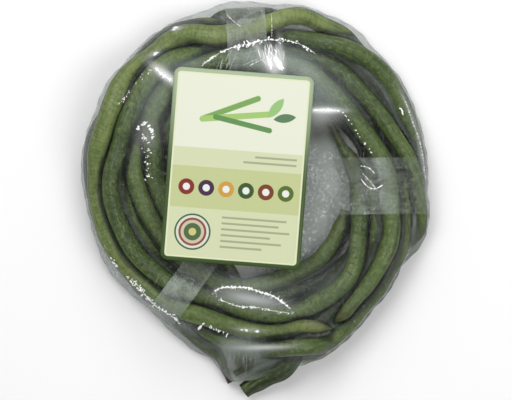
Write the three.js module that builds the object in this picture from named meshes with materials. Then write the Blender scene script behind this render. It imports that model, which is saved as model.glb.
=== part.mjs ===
// Yardlong bean bunch: long pods coiled into a flat ring, bound with three bands of clear tape,
// wrapped in clear film and labelled on top. Millimetres, +Z up. The bunch lies on its back sheet
// at z = 0, with the middle of the coil above the origin and its tail of pod ends towards -Y.

import * as THREE from 'three';
import { mergeVertices } from 'three/addons/utils/BufferGeometryUtils.js';

// Thin pieces, thicker than life so that each stays a solid
const FILM_THICK = 0.7;
const TAPE_THICK = 0.6;
const LABEL_THICK = 0.6;

// Clear distance kept between pieces that touch
const GAP = 0.35;

// The pods lie on the tape bands, and the bands on the film's back sheet
const TAPE_BED = FILM_THICK + GAP;
const POD_BED = TAPE_BED + TAPE_THICK + GAP;

// A pod's section and ends. Shares are of its full radius.
const POD = {
  sides: 8,
  ringStep: 11.6,
  seedSwell: 0.045,
  stubRadius: 1.7,
  stubLength: 6,
  shoulderLength: 20,
  snappedShare: 0.74,
  snappedLength: 9,
  taperLength: 75,
  taperShare: 0.66,
  beakLength: 9,
  beakShare: 0.3,
};

// Rings near a pod's stem, measured from it, and near its tip, measured back from it
const STEM_RINGS = [0, 5, 9, 15, 24];
const TIP_RINGS = [26, 15, 8, 3, 0];

// How the pods sink onto each other from their routes until they lie packed
const SETTLE = {
  startLift: 1.7,
  rounds: 420,
  finishRounds: 400,
  sink: 0.3,
  hold: 0.02,
  holdOnTop: 0.11,
  topHeight: 20,
  smooth: 0.35,
  straighten: 0.2,
  part: 0.8,
  closeEnough: 0.02,
  sameBend: 4,
  listEvery: 12,
  listReach: 34,
  pushIn: 1,
  tailBearing: 270,
  tailAngle: 24,
  tailStart: 93,
  holdInTail: 0.25,
};

// How far out the coil's pods may reach, as bearings in degrees and distances from its middle
const COIL_EDGE = [
  [0, 89.5], [20, 94], [40, 95], [60, 97], [76, 97], [92, 93], [110, 93.5], [130, 95],
  [145, 92], [160, 91], [175, 90], [190, 88], [200, 87.5], [210, 85], [220, 83.5],
  [230, 82.5], [240, 86.5], [252, 90], [285, 95], [300, 91], [310, 88.5], [320, 86],
  [330, 88.5], [345, 90.5], [360, 89.5],
];

// Each pod's full radius and its route from stem to tip, chosen by hand. A route point is a
// bearing from the coil's middle in degrees, the distance from the middle, and the height.
const PODS = [
  {
    name: 'bean_01',
    radius: 4.9,
    route: [
      [45, 93, 14], [51, 93, 16], [66, 90, 18], [84, 86, 20], [92, 83, 19], [111, 85, 17],
      [123, 88, 15], [140, 90, 14], [156, 90, 14], [178, 89, 14], [188, 88, 15], [198, 87, 16],
      [211, 81.5, 18], [228, 77.5, 20], [246, 75, 22], [262, 77, 22], [272, 79, 22],
      [286, 80.5, 23], [299, 87, 22],
    ],
  },
  {
    name: 'bean_02',
    radius: 4.6,
    route: [
      [40, 54, 16], [29, 53.5, 17], [19, 54, 17], [2, 57, 18], [-16, 61, 20], [-25, 65.7, 21],
      [-33, 69.4, 21], [-40, 72.5, 20], [-54, 73, 20], [-70, 70, 20], [-80, 70, 20],
      [-95, 67, 21], [-108, 65.8, 21], [-118, 65.5, 21], [-139, 68.4, 20], [-148, 72, 20],
      [-159, 74.5, 20], [-171, 77, 19], [-179, 79.5, 18], [-190, 81, 16.5], [-209, 81, 15.5],
      [-227, 80.5, 17], [-245, 79.5, 20], [-260, 77.5, 20], [-273, 77, 19],
    ],
  },
  {
    name: 'bean_03',
    radius: 5,
    route: [
      [225, 50, 13], [195, 50.4, 17], [180, 54.6, 20], [169, 59, 22], [160, 64, 23],
      [149, 70, 23], [139, 73, 22], [120, 71.5, 22], [100, 68.5, 22], [85, 67.5, 23],
      [70, 66.5, 24], [57, 65.8, 24], [44, 64.5, 23], [33, 63.7, 23], [20, 66.2, 23],
      [9, 69.3, 23], [-5, 71.8, 23], [-20, 75.1, 22], [-35, 77, 21], [-48, 81.5, 19],
      [-61, 85, 18],
    ],
  },
  {
    name: 'bean_04',
    radius: 4.5,
    route: [
      [245, 66, 10], [228, 66, 12], [215, 66, 14],
      [202, 68.7, 16], [188, 72.3, 16], [180, 75.8, 15], [170, 79.5, 13], [150, 77, 12],
      [125, 74, 12], [110, 73, 13], [95, 74, 14], [80, 76.5, 16], [64, 78.9, 19],
      [48, 76.6, 19], [37, 75.8, 19], [24, 77.4, 18], [16, 78.5, 18], [9, 80.6, 17],
      [3, 82.8, 17], [-6, 83.8, 16], [-14, 86.5, 15], [-23, 89.8, 14],
    ],
  },
  {
    name: 'bean_05',
    radius: 4.6,
    snapped: true,
    route: [
      [-15, 50.5, 20], [-24, 52.4, 20], [-38, 51.5, 20], [-52, 51.5, 19], [-70, 53, 18],
      [-90, 55, 17], [-110, 57, 16], [-130, 58, 16], [-150, 58.9, 16], [-163, 58.3, 17],
      [-170, 59.8, 18], [-180, 63.6, 19], [-190, 66.5, 19], [-196, 70.6, 18], [-208, 73.5, 16],
      [-222, 72, 12], [-240, 70, 10], [-255, 69, 9],
    ],
  },
  {
    name: 'bean_06',
    radius: 5,
    route: [
      [-97, 101, 7], [-90, 94, 7], [-76, 89.5, 7], [-62, 89, 7], [-50, 85.5, 7], [-40, 83, 7],
      [-30, 85, 7], [-17, 87, 8], [-3, 87.5, 10], [4, 87.7, 12], [18, 86, 13], [29, 86.1, 13], [42, 88, 15],
      [49, 88.8, 17], [56, 89, 18], [64, 87.5, 18], [77, 84, 16], [90, 82, 13], [105, 80, 10],
    ],
  },
  {
    name: 'bean_07',
    radius: 4.4,
    route: [
      [370, 78, 7], [350, 79, 7], [335, 79, 7], [320, 76, 7], [300, 80, 7], [280, 80, 7],
      [260, 77, 7], [240, 73, 7], [220, 72, 7], [200, 77, 7], [180, 80, 7], [165, 87, 7], [155, 90, 8],
      [140, 92.5, 10], [130, 93, 13], [122, 93, 16], [109, 91.5, 19], [102, 89.5, 21],
      [94, 86.5, 22],
    ],
  },
  {
    name: 'bean_08',
    radius: 4.7,
    route: [
      [72, 92, 17], [78, 91, 18], [85, 90, 18], [95, 88.5, 16], [105, 86, 13], [120, 81, 9],
      [140, 76, 7], [160, 73, 7], [180, 70, 7], [200, 67, 7], [220, 62, 7], [240, 61, 7],
      [260, 66, 7], [280, 71, 7], [300, 72, 7], [320, 72, 7], [340, 71, 7], [370, 70, 7],
    ],
  },
  {
    name: 'bean_09',
    radius: 4.4,
    route: [
      [75, 82, 16], [59, 83.9, 19], [50, 82.8, 18], [38, 82, 16], [20, 80, 11], [0, 78, 10],
      [-20, 80.3, 13], [-28, 83.2, 14], [-34, 85, 14], [-45, 86.2, 13], [-55, 89, 12],
      [-70, 88, 12], [-90, 85, 13], [-110, 80, 14], [-130, 78, 13], [-140, 78, 13],
    ],
  },
  {
    name: 'bean_10',
    radius: 4.3,
    route: [
      [20, 63, 7], [30, 63, 7], [50, 64, 7], [70, 64, 7], [90, 64, 7],
      [110, 64, 7], [130, 64, 7], [150, 64, 7], [170, 62, 7], [190, 58, 7], [210, 53, 7],
      [230, 50, 7], [250, 54, 8], [270, 60, 11], [291, 65, 14], [300, 65.5, 14],
      [310, 65, 15], [318, 63.6, 15], [327, 62.2, 15],
    ],
  },
  {
    name: 'bean_11',
    radius: 5,
    snapped: true,
    route: [
      [266.5, 109, 8], [274, 99, 8], [282, 91.5, 8], [292, 86, 8], [305, 81, 9],
      [320, 76, 11], [340, 70, 13], [360, 66, 14], [380, 64, 14], [400, 64, 13], [420, 64, 12],
      [450, 63, 12], [480, 62, 12],
    ],
  },
  {
    name: 'bean_12',
    radius: 4.7,
    route: [
      [263, 105, 8], [259, 95, 8], [250, 88, 8], [241, 84, 8], [230, 81, 8], [220, 82, 8],
      [205, 85, 8], [190, 86, 8], [175, 87, 8], [160, 86, 8], [145, 83, 9], [130, 81, 10], [115, 80, 11],
      [100, 80, 12], [85, 80, 13], [72, 82, 14],
    ],
  },
  {
    name: 'bean_13',
    radius: 4.4,
    route: [
      [57, 60.5, 19], [75, 60, 18], [100, 60, 17], [120, 61, 17], [139, 63, 17], [150, 59, 17],
      [160, 54, 17], [180, 47, 15], [200, 44, 13], [220, 43, 11], [240, 44, 9], [260, 49, 8],
    ],
  },
];

// Tape bands, each a belt round every pod at its bearing
const TAPES = [
  { name: 'tape_top', bearing: 93.5, width: 21 },
  { name: 'tape_right', bearing: 0.5, width: 30 },
  { name: 'tape_lower_left', bearing: 234, width: 16 },
];
const TAPE_SIDES = 20;
const TAPE_MARGIN = 1;

// The wrap is a grid of columns round the coil and rings from its middle to its rim. Its side
// is open over the mouth, and at each loose place it stands further out than the pods.
const WRAP = {
  columns: 48,
  rings: [0.18, 0.34, 0.48, 0.58, 0.68, 0.77, 0.85, 0.91, 0.95, 0.98, 1],
  backRings: [0.9, 0.5],
  mouth: [255, 285],
  lipReaches: [105, 103, 98.5],
  startHeight: 42,
  rounds: 500,
  liftRounds: 150,
  pull: 0.55,
  rimShare: 0.7,
  side: 0.5,
  smallestReach: 86,
  overhang: 0.05,
  room: 0.25,
  evenness: 0.08,
  podStep: 2.5,
  tapeStep: 2,
};
const LOOSE_PLACES = [
  { bearing: 210, spread: 12, out: 3.5 },
  { bearing: 148, spread: 9, out: 2 },
  { bearing: 97, spread: 11, out: 3 },
  { bearing: 54, spread: 8, out: 2.5 },
  { bearing: 322, spread: 6, out: 1.5 },
];

// The sticker label, turned a little clockwise, lies over the hole and the ring's inner pods
const LABEL = {
  width: 74,
  height: 102,
  corner: 4,
  middle: [-9.9, 9.9],
  turn: -4.4,
  bedInset: 2,
  bedStep: 3,
  sheetMargin: 6,
};

const POD_MATERIAL = new THREE.MeshStandardMaterial({ color: 0x66803f, roughness: 0.55 });
const TAPE_MATERIAL = new THREE.MeshStandardMaterial({
  color: 0xcdd3cb,
  roughness: 0.35,
  transparent: true,
  opacity: 0.35,
});
const FILM_MATERIAL = new THREE.MeshStandardMaterial({
  color: 0xdfe3e0,
  roughness: 0.15,
  transparent: true,
  opacity: 0.2,
});
const LABEL_MATERIAL = new THREE.MeshStandardMaterial({ color: 0xdfe8bf, roughness: 0.3 });

const DEGREE = Math.PI / 180;
const UP = new THREE.Vector3(0, 0, 1);

// Below this a length or an area counts as none, and nearer corners than this are one
const TINY = 1e-9;
const WELD_DISTANCE = 1e-4;

function fromPolar(bearing, distance, height = 0) {
  const angle = bearing * DEGREE;
  return new THREE.Vector3(distance * Math.cos(angle), distance * Math.sin(angle), height);
}

function bearingOf(x, y) {
  const bearing = Math.atan2(y, x) / DEGREE;
  return (bearing + 360) % 360;
}

// The coil's edge at a bearing, read between the two nearest of its listed bearings
function coilEdge(bearing) {
  const next = COIL_EDGE.findIndex(([listed]) => listed > bearing);
  const [from, near] = COIL_EDGE[next - 1];
  const [to, far] = COIL_EDGE[next];
  return near + ((far - near) * (bearing - from)) / (to - from);
}

function smoothStep(share) {
  const t = Math.min(Math.max(share, 0), 1);
  return t * t * (3 - 2 * t);
}

// Distances along a pod at which it has a ring, an even number of steps between its ends
function ringPlaces(length) {
  const first = STEM_RINGS.at(-1);
  const last = length - TIP_RINGS[0];
  const steps = 2 * Math.round((last - first) / POD.ringStep / 2);
  const between = [];
  for (let k = 1; k < steps; k += 1) {
    between.push(first + ((last - first) * k) / steps);
  }
  return [...STEM_RINGS, ...between, ...TIP_RINGS.map((back) => length - back)];
}

// A pod's radius towards its stem: a cut stub and a shoulder, or a blunt end snapped off short
function stemRadius(pod, along) {
  if (pod.snapped) {
    const share = POD.snappedShare + (1 - POD.snappedShare) * smoothStep(along / POD.snappedLength);
    return pod.radius * share;
  }
  const shoulder = smoothStep((along - POD.stubLength) / POD.shoulderLength);
  return POD.stubRadius + (pod.radius - POD.stubRadius) * shoulder;
}

// A pod's radius at one ring: its stem end, seeds that swell it, a taper and a beak
function podRadius(pod, along, length, ring) {
  const left = length - along;
  if (left <= 0) return 0;
  const body = stemRadius(pod, along);
  const taper = 1 - (1 - POD.taperShare) * (1 - smoothStep(left / POD.taperLength));
  const beak = POD.beakShare + (1 - POD.beakShare) * smoothStep(left / POD.beakLength);
  const seed = ring % 2 === 0 ? 1 + POD.seedSwell : 1 - POD.seedSwell;
  return body * taper * beak * seed;
}

// A pod's rings along its route, before it settles
function layOut(pod) {
  const points = pod.route.map(([bearing, distance, height]) =>
    fromPolar(bearing, distance, height));
  const curve = new THREE.CatmullRomCurve3(points, false, 'centripetal');
  curve.arcLengthDivisions = 800;
  const length = curve.getLength();
  return ringPlaces(length).map((along, ring) => {
    const home = curve.getPointAt(Math.min(along / length, 1));
    const place = home.clone();
    place.z *= SETTLE.startLift;
    return { place, home, radius: podRadius(pod, along, length, ring) };
  });
}

// The stretches between neighbouring rings of all pods, each as thick as its thicker end
function stretchesOf(strands) {
  return strands.flatMap((rings, strand) =>
    rings.slice(1).map((end, k) => {
      const start = rings[k];
      const radius = Math.max(start.radius, end.radius);
      const rest = start.place.distanceTo(end.place);
      return { strand, order: k, start, end, radius, rest };
    }));
}

// Where two stretches come closest, as shares of their lengths
function closestShares(one, two) {
  const p = one.start.place;
  const q = two.start.place;
  const d1 = new THREE.Vector3().subVectors(one.end.place, p);
  const d2 = new THREE.Vector3().subVectors(two.end.place, q);
  const r = new THREE.Vector3().subVectors(p, q);
  const a = d1.dot(d1);
  const e = d2.dot(d2);
  const f = d2.dot(r);
  const c = d1.dot(r);
  const b = d1.dot(d2);
  const clamp = (value) => Math.min(Math.max(value, 0), 1);
  const spread = a * e - b * b;
  let s = spread > TINY ? clamp((b * f - c * e) / spread) : 0;
  let t = (b * s + f) / e;
  if (t < 0) {
    t = 0;
    s = clamp(-c / a);
  } else if (t > 1) {
    t = 1;
    s = clamp((b - c) / a);
  }
  return [s, t];
}

function nearPairs(stretches) {
  const middles = stretches.map((stretch) =>
    new THREE.Vector3().addVectors(stretch.start.place, stretch.end.place).multiplyScalar(0.5));
  const pairs = [];
  for (let i = 0; i < stretches.length; i += 1) {
    for (let j = i + 1; j < stretches.length; j += 1) {
      const one = stretches[i];
      const two = stretches[j];
      const sameBend = one.strand === two.strand && two.order - one.order < SETTLE.sameBend;
      if (sameBend) continue;
      if (middles[i].distanceTo(middles[j]) < SETTLE.listReach) pairs.push([one, two]);
    }
  }
  return pairs;
}

// Moves two stretches apart where they come closer than their radii and the gap allow, and
// returns how much too close they were
function pushApart([one, two], share) {
  const [s, t] = closestShares(one, two);
  const p = new THREE.Vector3().lerpVectors(one.start.place, one.end.place, s);
  const q = new THREE.Vector3().lerpVectors(two.start.place, two.end.place, t);
  const away = p.sub(q);
  const distance = away.length();
  const tooClose = one.radius + two.radius + GAP - distance;
  if (tooClose <= 0) return 0;
  away.multiplyScalar(1 / Math.max(distance, TINY));
  const weights = [1 - s, s, 1 - t, t];
  const total = weights.reduce((sum, weight) => sum + weight * weight, 0);
  const step = (share * tooClose) / total;
  one.start.place.addScaledVector(away, weights[0] * step);
  one.end.place.addScaledVector(away, weights[1] * step);
  two.start.place.addScaledVector(away, -weights[2] * step);
  two.end.place.addScaledVector(away, -weights[3] * step);
  return tooClose;
}

// Evens out a strand's bending without shrinking its loop
function smoothStrand(rings, share) {
  const bends = rings.map(({ place }, k) => {
    if (k === 0 || k === rings.length - 1) return new THREE.Vector3();
    const before = rings[k - 1].place;
    const after = rings[k + 1].place;
    const back = before.distanceTo(place);
    const ahead = after.distanceTo(place);
    const chord = new THREE.Vector3().lerpVectors(before, after, back / (back + ahead));
    return chord.sub(place).multiplyScalar(1 / (back * ahead));
  });
  for (let k = 1; k < rings.length - 1; k += 1) {
    const mean = bends[k - 1].clone().add(bends[k + 1]).multiplyScalar(0.5);
    if (k === 1) mean.copy(bends[2]);
    if (k === rings.length - 2) mean.copy(bends[k - 1]);
    const back = rings[k].place.distanceTo(rings[k - 1].place);
    const ahead = rings[k].place.distanceTo(rings[k + 1].place);
    const off = bends[k].clone().sub(mean).multiplyScalar(back * ahead);
    rings[k].place.addScaledVector(off, share);
  }
}

// Draws a strand's last few rings towards a straight line, as a pod's ends are stiff
function straighten(rings, first, last) {
  const from = rings[first].place;
  const to = rings[last].place;
  const line = new THREE.Vector3().subVectors(to, from);
  for (let k = first + 1; k < last; k += 1) {
    const offset = new THREE.Vector3().subVectors(rings[k].place, from);
    const share = offset.dot(line) / line.lengthSq();
    const target = from.clone().addScaledVector(line, share);
    rings[k].place.lerp(target, SETTLE.straighten);
  }
}

function straightenEnds(rings) {
  const last = rings.length - 1;
  straighten(rings, 0, STEM_RINGS.length - 1);
  straighten(rings, last - TIP_RINGS.length + 1, last);
}

function keepLength(stretch) {
  const along = new THREE.Vector3().subVectors(stretch.end.place, stretch.start.place);
  const length = along.length();
  along.multiplyScalar((0.5 * (length - stretch.rest)) / length);
  stretch.start.place.add(along);
  stretch.end.place.sub(along);
}

function keepOnBed(ring) {
  ring.place.z = Math.max(ring.place.z, POD_BED + ring.radius);
}

// Whether a ring is in the tail of pod ends, outside the coil
function inTail(ring) {
  const offTail = Math.abs(bearingOf(ring.home.x, ring.home.y) - SETTLE.tailBearing);
  return offTail < SETTLE.tailAngle && Math.hypot(ring.home.x, ring.home.y) > SETTLE.tailStart;
}

// A ring's pull back to its route, strongest where the route runs on top of the coil
function holdToRoute(ring) {
  const height = Math.min(ring.home.z / SETTLE.topHeight, 1);
  const holdAtHeight = SETTLE.hold + (SETTLE.holdOnTop - SETTLE.hold) * height ** 3;
  const share = inTail(ring) ? SETTLE.holdInTail : holdAtHeight;
  ring.place.x += share * (ring.home.x - ring.place.x);
  ring.place.y += share * (ring.home.y - ring.place.y);
}

function keepInside(ring) {
  const reach = Math.hypot(ring.place.x, ring.place.y);
  const furthest = coilEdge(bearingOf(ring.place.x, ring.place.y)) - ring.radius;
  if (inTail(ring) || reach <= furthest) return;
  const share = SETTLE.pushIn * (furthest / reach - 1);
  ring.place.x += share * ring.place.x;
  ring.place.y += share * ring.place.y;
}

// Lets the strands sink onto each other, then only parts them until none are too close
function settle(strands) {
  const stretches = stretchesOf(strands);
  const rings = strands.flat();
  let pairs = [];
  for (let round = 0; round < SETTLE.rounds + SETTLE.finishRounds; round += 1) {
    const sinking = round < SETTLE.rounds;
    if (round % SETTLE.listEvery === 0) pairs = nearPairs(stretches);
    if (sinking) {
      rings.forEach((ring) => {
        ring.place.z -= SETTLE.sink;
        holdToRoute(ring);
        keepInside(ring);
      });
      strands.forEach((strand) => {
        straightenEnds(strand);
        smoothStrand(strand, SETTLE.smooth);
      });
      stretches.forEach(keepLength);
    }
    const worst = Math.max(...pairs.map((pair) => pushApart(pair, sinking ? SETTLE.part : 1)));
    rings.forEach(keepOnBed);
    if (!sinking && worst < SETTLE.closeEnough) break;
  }
}

// Closed tube of flat facets through a strand's rings: a cut disc at the stem, a point at the tip
function podGeometry(rings) {
  const positions = [];
  const faces = [];
  const count = POD.sides;
  const tangentAt = (k) => {
    const before = rings[Math.max(k - 1, 0)].place;
    const after = rings[Math.min(k + 1, rings.length - 1)].place;
    return new THREE.Vector3().subVectors(after, before).normalize();
  };
  const side = UP.clone();
  const last = rings.length - 1;
  for (let k = 0; k < last; k += 1) {
    const tangent = tangentAt(k);
    side.addScaledVector(tangent, -side.dot(tangent)).normalize();
    const across = new THREE.Vector3().crossVectors(tangent, side);
    for (let j = 0; j < count; j += 1) {
      const angle = (2 * Math.PI * j) / count;
      const point = rings[k].place.clone()
        .addScaledVector(side, rings[k].radius * Math.cos(angle))
        .addScaledVector(across, rings[k].radius * Math.sin(angle));
      positions.push(point.x, point.y, point.z);
    }
  }
  const stem = positions.length / 3;
  const start = rings[0].place;
  positions.push(start.x, start.y, start.z);
  const tip = stem + 1;
  const end = rings[last].place;
  positions.push(end.x, end.y, end.z);
  for (let j = 0; j < count; j += 1) {
    const next = (j + 1) % count;
    faces.push(stem, next, j);
    for (let k = 0; k < last - 1; k += 1) {
      const a = k * count + j;
      const b = k * count + next;
      faces.push(a, b, b + count, a, b + count, a + count);
    }
    faces.push((last - 1) * count + j, (last - 1) * count + next, tip);
  }
  return indexedGeometry(positions, faces);
}

function indexedGeometry(positions, faces) {
  const geometry = new THREE.BufferGeometry();
  geometry.setAttribute('position', new THREE.Float32BufferAttribute(positions, 3));
  geometry.setIndex(faces);
  geometry.computeVertexNormals();
  return geometry;
}

function corners(geometry) {
  const position = geometry.getAttribute('position');
  return Array.from({ length: position.count }, (_, k) =>
    new THREE.Vector3().fromBufferAttribute(position, k));
}

// Points along every edge of a mesh, close enough together to stand for its surface
function pointsOnEdges(geometry, spacing) {
  const vertices = corners(geometry);
  const index = geometry.getIndex().array;
  const points = [...vertices];
  for (let k = 0; k < index.length; k += 3) {
    for (let j = 0; j < 3; j += 1) {
      const from = index[k + j];
      const to = index[k + ((j + 1) % 3)];
      if (from > to) continue;
      const parts = Math.ceil(vertices[from].distanceTo(vertices[to]) / spacing);
      for (let m = 1; m < parts; m += 1) {
        points.push(new THREE.Vector3().lerpVectors(vertices[from], vertices[to], m / parts));
      }
    }
  }
  return points;
}

// Corners of the closed outline that touches the given flat points from a number of sides
function outlineRound(points, sides, clearance) {
  const lines = Array.from({ length: sides }, (_, k) => {
    const angle = (2 * Math.PI * k) / sides;
    const nx = Math.cos(angle);
    const ny = Math.sin(angle);
    const reach = Math.max(...points.map((point) => point.x * nx + point.y * ny));
    return { nx, ny, reach: reach + clearance };
  });
  return lines.map((line, k) => {
    const next = lines[(k + 1) % sides];
    const det = line.nx * next.ny - line.ny * next.nx;
    const x = (line.reach * next.ny - next.reach * line.ny) / det;
    const y = (next.reach * line.nx - line.reach * next.nx) / det;
    return new THREE.Vector2(x, y);
  });
}

// A tape band: a belt of even thickness round all pods near its bearing
function tapeGeometry(tape, podPoints) {
  const along = fromPolar(tape.bearing, 1);
  const across = fromPolar(tape.bearing + 90, 1);
  const within = podPoints.filter((point) =>
    point.dot(along) > 0 && Math.abs(point.dot(across)) < tape.width / 2 + TAPE_MARGIN);
  const flat = within.map((point) => new THREE.Vector2(point.dot(along), point.z));
  const outer = outlineRound(flat, TAPE_SIDES, GAP + TAPE_THICK);
  const inner = outlineRound(flat, TAPE_SIDES, GAP);
  const shape = new THREE.Shape(outer);
  shape.holes.push(new THREE.Path(inner));
  const options = { depth: tape.width, bevelEnabled: false };
  const geometry = new THREE.ExtrudeGeometry(shape, options);
  geometry.translate(0, 0, -tape.width / 2);
  const third = new THREE.Vector3().crossVectors(along, UP);
  const turned = new THREE.Matrix4().makeBasis(along, UP, third);
  return welded(geometry.applyMatrix4(turned));
}

function welded(geometry) {
  geometry.deleteAttribute('normal');
  geometry.deleteAttribute('uv');
  const joined = mergeVertices(geometry, WELD_DISTANCE);
  joined.computeVertexNormals();
  return joined;
}

function inMouth(bearing) {
  return bearing > WRAP.mouth[0] && bearing < WRAP.mouth[1];
}

function looseness(bearing) {
  return LOOSE_PLACES.reduce((sum, place) => {
    const off = Math.abs(((bearing - place.bearing + 540) % 360) - 180) / place.spread;
    return sum + place.out * Math.exp(-off * off);
  }, 0);
}

// How far out the wrap's rim stands at each column
function wrapReaches(points) {
  const step = 360 / WRAP.columns;
  const half = (step / 2) * DEGREE;
  const reaches = new Array(WRAP.columns).fill(WRAP.smallestReach);
  points.forEach((point) => {
    const bearing = bearingOf(point.x, point.y);
    if (inMouth(bearing)) return;
    const reach = (Math.hypot(point.x, point.y) + GAP + WRAP.room) / Math.cos(half);
    const column = Math.floor(bearing / step);
    [column, column + 1].forEach((k) => {
      const at = k % WRAP.columns;
      reaches[at] = Math.max(reaches[at], reach);
    });
  });
  const inside = reaches.map((reach, k) => k).filter((k) => inMouth(k * step));
  inside.forEach((k, order) => {
    reaches[k] = WRAP.lipReaches[order];
  });
  return reaches.map((reach, k) => reach + looseness(k * step));
}

// The wrap's front sheet as a grid over the coil: vertex 0 is its middle
function frontGrid(reaches) {
  const vertices = [new THREE.Vector3(0, 0, WRAP.startHeight)];
  WRAP.rings.forEach((share) => {
    reaches.forEach((reach, column) => {
      const bearing = (column * 360) / WRAP.columns;
      vertices.push(fromPolar(bearing, share * reach, WRAP.startHeight));
    });
  });
  return vertices;
}

function gridVertex(ring, column) {
  return ring < 0 ? 0 : 1 + ring * WRAP.columns + (column % WRAP.columns);
}

// The grid triangle under a point and the point's shares of its three corners
function triangleUnder(point, reaches) {
  const step = 360 / WRAP.columns;
  const bearing = bearingOf(point.x, point.y);
  const column = Math.floor(bearing / step);
  const turn = step * DEGREE;
  const past = bearing * DEGREE - column * turn;
  const distance = Math.hypot(point.x, point.y);
  const b = (distance * Math.sin(past)) / (Math.sin(turn) * reaches[(column + 1) % WRAP.columns]);
  const a = (distance * Math.sin(turn - past)) / (Math.sin(turn) * reaches[column]);
  const share = a + b;
  if (share > 1 + WRAP.overhang) return null;
  const last = WRAP.rings.length - 1;
  const ring = share > 1 ? last : WRAP.rings.findIndex((limit) => share <= limit);
  const outer = WRAP.rings[ring];
  const farHere = gridVertex(ring, column);
  const farNext = gridVertex(ring, column + 1);
  if (ring === 0) {
    return { at: [0, farHere, farNext], shares: [1 - share / outer, a / outer, b / outer] };
  }
  const inner = WRAP.rings[ring - 1];
  const nearHere = gridVertex(ring - 1, column);
  const nearNext = gridVertex(ring - 1, column + 1);
  // The diagonal runs from nearHere to farNext
  const overDiagonal = a / inner + b / outer;
  if (overDiagonal >= 1) {
    const nextShare = b / outer;
    const farShare = (a - inner * (1 - nextShare)) / (outer - inner);
    const nearShare = 1 - farShare - nextShare;
    return { at: [nearHere, farHere, farNext], shares: [nearShare, farShare, nextShare] };
  }
  const hereShare = a / inner;
  const outShare = (b - inner * (1 - hereShare)) / (outer - inner);
  const nextShare = 1 - hereShare - outShare;
  return { at: [nearHere, farNext, nearNext], shares: [hereShare, outShare, nextShare] };
}

function sheetNeighbours() {
  const lists = [[]];
  WRAP.rings.forEach((_, ring) => {
    for (let column = 0; column < WRAP.columns; column += 1) {
      const list = [gridVertex(ring, column + 1), gridVertex(ring, column + WRAP.columns - 1)];
      if (ring > 0) list.push(gridVertex(ring - 1, column));
      if (ring === 0) list.push(0);
      if (ring < WRAP.rings.length - 1) list.push(gridVertex(ring + 1, column));
      lists.push(list);
      if (ring === 0) lists[0].push(gridVertex(0, column));
    }
  });
  return lists;
}

// The heights that the front sheet must clear, each with the grid triangle above it
function supportsUnder(points, reaches) {
  return points
    .map((point) => ({ under: triangleUnder(point, reaches), height: point.z + GAP + WRAP.room }))
    .filter((support) => support.under !== null);
}

function liftOver(vertices, supports) {
  supports.forEach(({ under, height }) => {
    const [i, j, k] = under.at;
    const [u, v, w] = under.shares;
    const sheet = u * vertices[i].z + v * vertices[j].z + w * vertices[k].z;
    if (sheet >= height) return;
    const step = (height - sheet) / (u * u + v * v + w * w);
    vertices[i].z += u * step;
    vertices[j].z += v * step;
    vertices[k].z += w * step;
  });
}

// Moves each corner of the front sheet towards the mean of its neighbours, and each corner of its
// rim towards a share of the height just inside it, from where the wrap's side hangs straight down
function pullTaut(vertices, neighbours) {
  const rimStart = gridVertex(WRAP.rings.length - 1, 0);
  const lowest = FILM_THICK + WRAP.side;
  vertices.forEach((vertex, at) => {
    if (at >= rimStart) {
      const hung = Math.max(lowest, WRAP.rimShare * vertices[at - WRAP.columns].z);
      vertex.z += WRAP.pull * (hung - vertex.z);
      return;
    }
    let sum = 0;
    let weight = 0;
    neighbours[at].forEach((other) => {
      const near = 1 / Math.hypot(vertices[other].x - vertex.x, vertices[other].y - vertex.y);
      sum += near * vertices[other].z;
      weight += near;
    });
    vertex.z += WRAP.pull * (sum / weight - vertex.z);
  });
}

// Draws the front sheet down as a taut skin over everything under it
function drawTaut(vertices, reaches, points) {
  const neighbours = sheetNeighbours();
  const supports = supportsUnder(points, reaches);
  for (let round = 0; round < WRAP.rounds; round += 1) {
    pullTaut(vertices, neighbours);
    liftOver(vertices, supports);
  }
  for (let round = 0; round < WRAP.liftRounds; round += 1) liftOver(vertices, supports);
}

// The whole wrap's skin: the front grid, then the rim's lower edge, the back rings and the middle
function wrapSkin(vertices, reaches) {
  const { columns } = WRAP;
  const skin = vertices.map((vertex) => vertex.clone());
  [1, ...WRAP.backRings].forEach((share) => {
    reaches.forEach((reach, column) => {
      skin.push(fromPolar((column * 360) / columns, share * reach, FILM_THICK));
    });
  });
  const backMiddle = skin.push(new THREE.Vector3(0, 0, FILM_THICK)) - 1;
  const rows = WRAP.rings.length + 1 + WRAP.backRings.length;
  const wallRow = WRAP.rings.length - 1;
  const faces = [];
  for (let column = 0; column < columns; column += 1) {
    const bearing = ((column + 0.5) * 360) / columns;
    faces.push([0, gridVertex(0, column), gridVertex(0, column + 1)]);
    for (let row = 0; row < rows - 1; row += 1) {
      if (row === wallRow && inMouth(bearing)) continue;
      const nearHere = gridVertex(row, column);
      const nearNext = gridVertex(row, column + 1);
      const farHere = gridVertex(row + 1, column);
      const farNext = gridVertex(row + 1, column + 1);
      faces.push([nearHere, farHere, farNext], [nearHere, farNext, nearNext]);
    }
    faces.push([gridVertex(rows - 1, column), backMiddle, gridVertex(rows - 1, column + 1)]);
  }
  return { skin, faces };
}

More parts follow.
